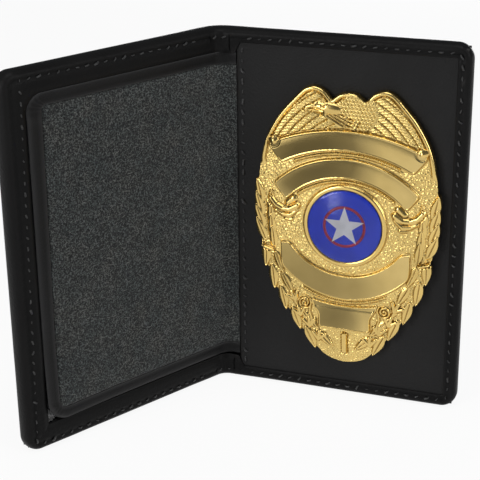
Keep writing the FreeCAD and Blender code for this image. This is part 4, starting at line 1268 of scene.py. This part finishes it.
panel_edge = tuple(on_flap(flap_end, 0.5, HEIGHT / 2))
flap_root = tuple(on_flap(flap_arrive + 1.0, 0.5, HEIGHT / 2))
for piece, nodes, slot in ((flap_leather, ["flap_leather", "flap_board"], "flap_leather"),
                           (felt, ["flap_felt"], "felt"), (fibres, [], "felt"),
                           (flap_hinge, ["flap_hinge"], "flap_leather")):
    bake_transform(piece)
    stand_for(nodes)

for node, material in (("pin_joint", PIN_GOLD), ("pin_rivet", PIN_GOLD), ("catch_body", PIN_GOLD),
                       ("catch_ring", PIN_GOLD), ("pin_stem", STEEL)):
    solid = frame["nodes"][node]
    solid.data.materials.clear()
    solid.data.materials.append(material)

# Floor: pale to the light, and nearly white where it is looked at or mirrored
FLOOR_WHITE = 0.92
bpy.ops.mesh.primitive_plane_add(size=6, location=(0, 0, 0))
floor = bpy.context.object
floor.name = "floor"
floor_material, tree = shader("floor", (0.86, 0.86, 0.86), 0.9)
rays = add(tree, "LightPath")
seen = worked_out(tree, "MAXIMUM", rays["Is Camera Ray"], rays["Is Transmission Ray"])
seen = worked_out(tree, "MAXIMUM", seen, rays["Is Glossy Ray"])
white = worked_out(tree, "MULTIPLY", seen, FLOOR_WHITE)
glow = add(tree, "Emission", Color=(1, 1, 1, 1))["Emission"]
pale = tree.nodes["Principled BSDF"].outputs["BSDF"]
shown = add(tree, "MixShader", {0: white, 1: pale, 2: glow})["Shader"]
tree.links.new(shown, tree.nodes["Material Output"].inputs["Surface"])
floor.data.materials.append(floor_material)

# Soft light from a dim sky and four large lamps that face the wallet's middle
MIDDLE = np.array([0.0, 0.0, 0.05])
world = bpy.data.worlds.new("studio")
world.use_nodes = True
sky = world.node_tree.nodes["Background"].inputs
sky["Color"].default_value = (0.9, 0.95, 1.0, 1)
sky["Strength"].default_value = 0.14
bpy.context.scene.world = world


def softbox(name, place, wide, tall, power):
    """A large soft lamp."""
    data = bpy.data.lights.new(name, "AREA")
    data.shape = "RECTANGLE"
    data.size = wide
    data.size_y = tall
    data.energy = power
    lamp = bpy.data.objects.new(name, data)
    bpy.context.scene.collection.objects.link(lamp)
    lamp.location = place
    aim = MIDDLE - np.array(place)
    lamp.rotation_euler = (acos(-aim[2] / np.linalg.norm(aim)), 0, atan2(aim[1], aim[0]) - pi / 2)


softbox("key", (-0.62, -0.5, 0.3), 0.3, 0.5, 3.6)
softbox("fill", (0.75, -0.45, 0.45), 0.3, 0.6, 3.2)
softbox("top", (0.0, -0.15, 0.95), 0.6, 0.5, 3.0)
softbox("back", (0.2, 0.8, 0.06), 0.6, 0.1, 1.6)

# Camera: place from the hinge axis, turn down, roll, focal length in pixels, picture and sensor width
CAMERA_FROM_AXIS = (4.65, -368.9)
CAMERA_HIGH = 193.0
LOOK_DOWN = radians(21.9)
ROLL = radians(-0.74)
FOCAL_PIXELS = 1385
PICTURE = 480
SENSOR = 36.0
camera_data = bpy.data.cameras.new("camera")
camera_data.sensor_width = SENSOR
camera_data.lens = FOCAL_PIXELS / PICTURE * SENSOR
camera = bpy.data.objects.new("camera", camera_data)
bpy.context.scene.collection.objects.link(camera)
camera.location = np.array([*(AXIS + CAMERA_FROM_AXIS), CAMERA_HIGH]) * MM
camera.rotation_mode = "XYZ"
turn_down = np.array([[1, 0, 0], [0, sin(LOOK_DOWN), -cos(LOOK_DOWN)], [0, cos(LOOK_DOWN), sin(LOOK_DOWN)]])
about_view = np.array([[cos(ROLL), -sin(ROLL), 0], [sin(ROLL), cos(ROLL), 0], [0, 0, 1]])
matrix = turn_down @ about_view
camera.rotation_euler = (atan2(matrix[2, 1], matrix[2, 2]), asin(-matrix[2, 0]),
                         atan2(matrix[1, 0], matrix[0, 0]))
bpy.context.scene.camera = camera
bpy.context.scene.view_settings.view_transform = "Standard"
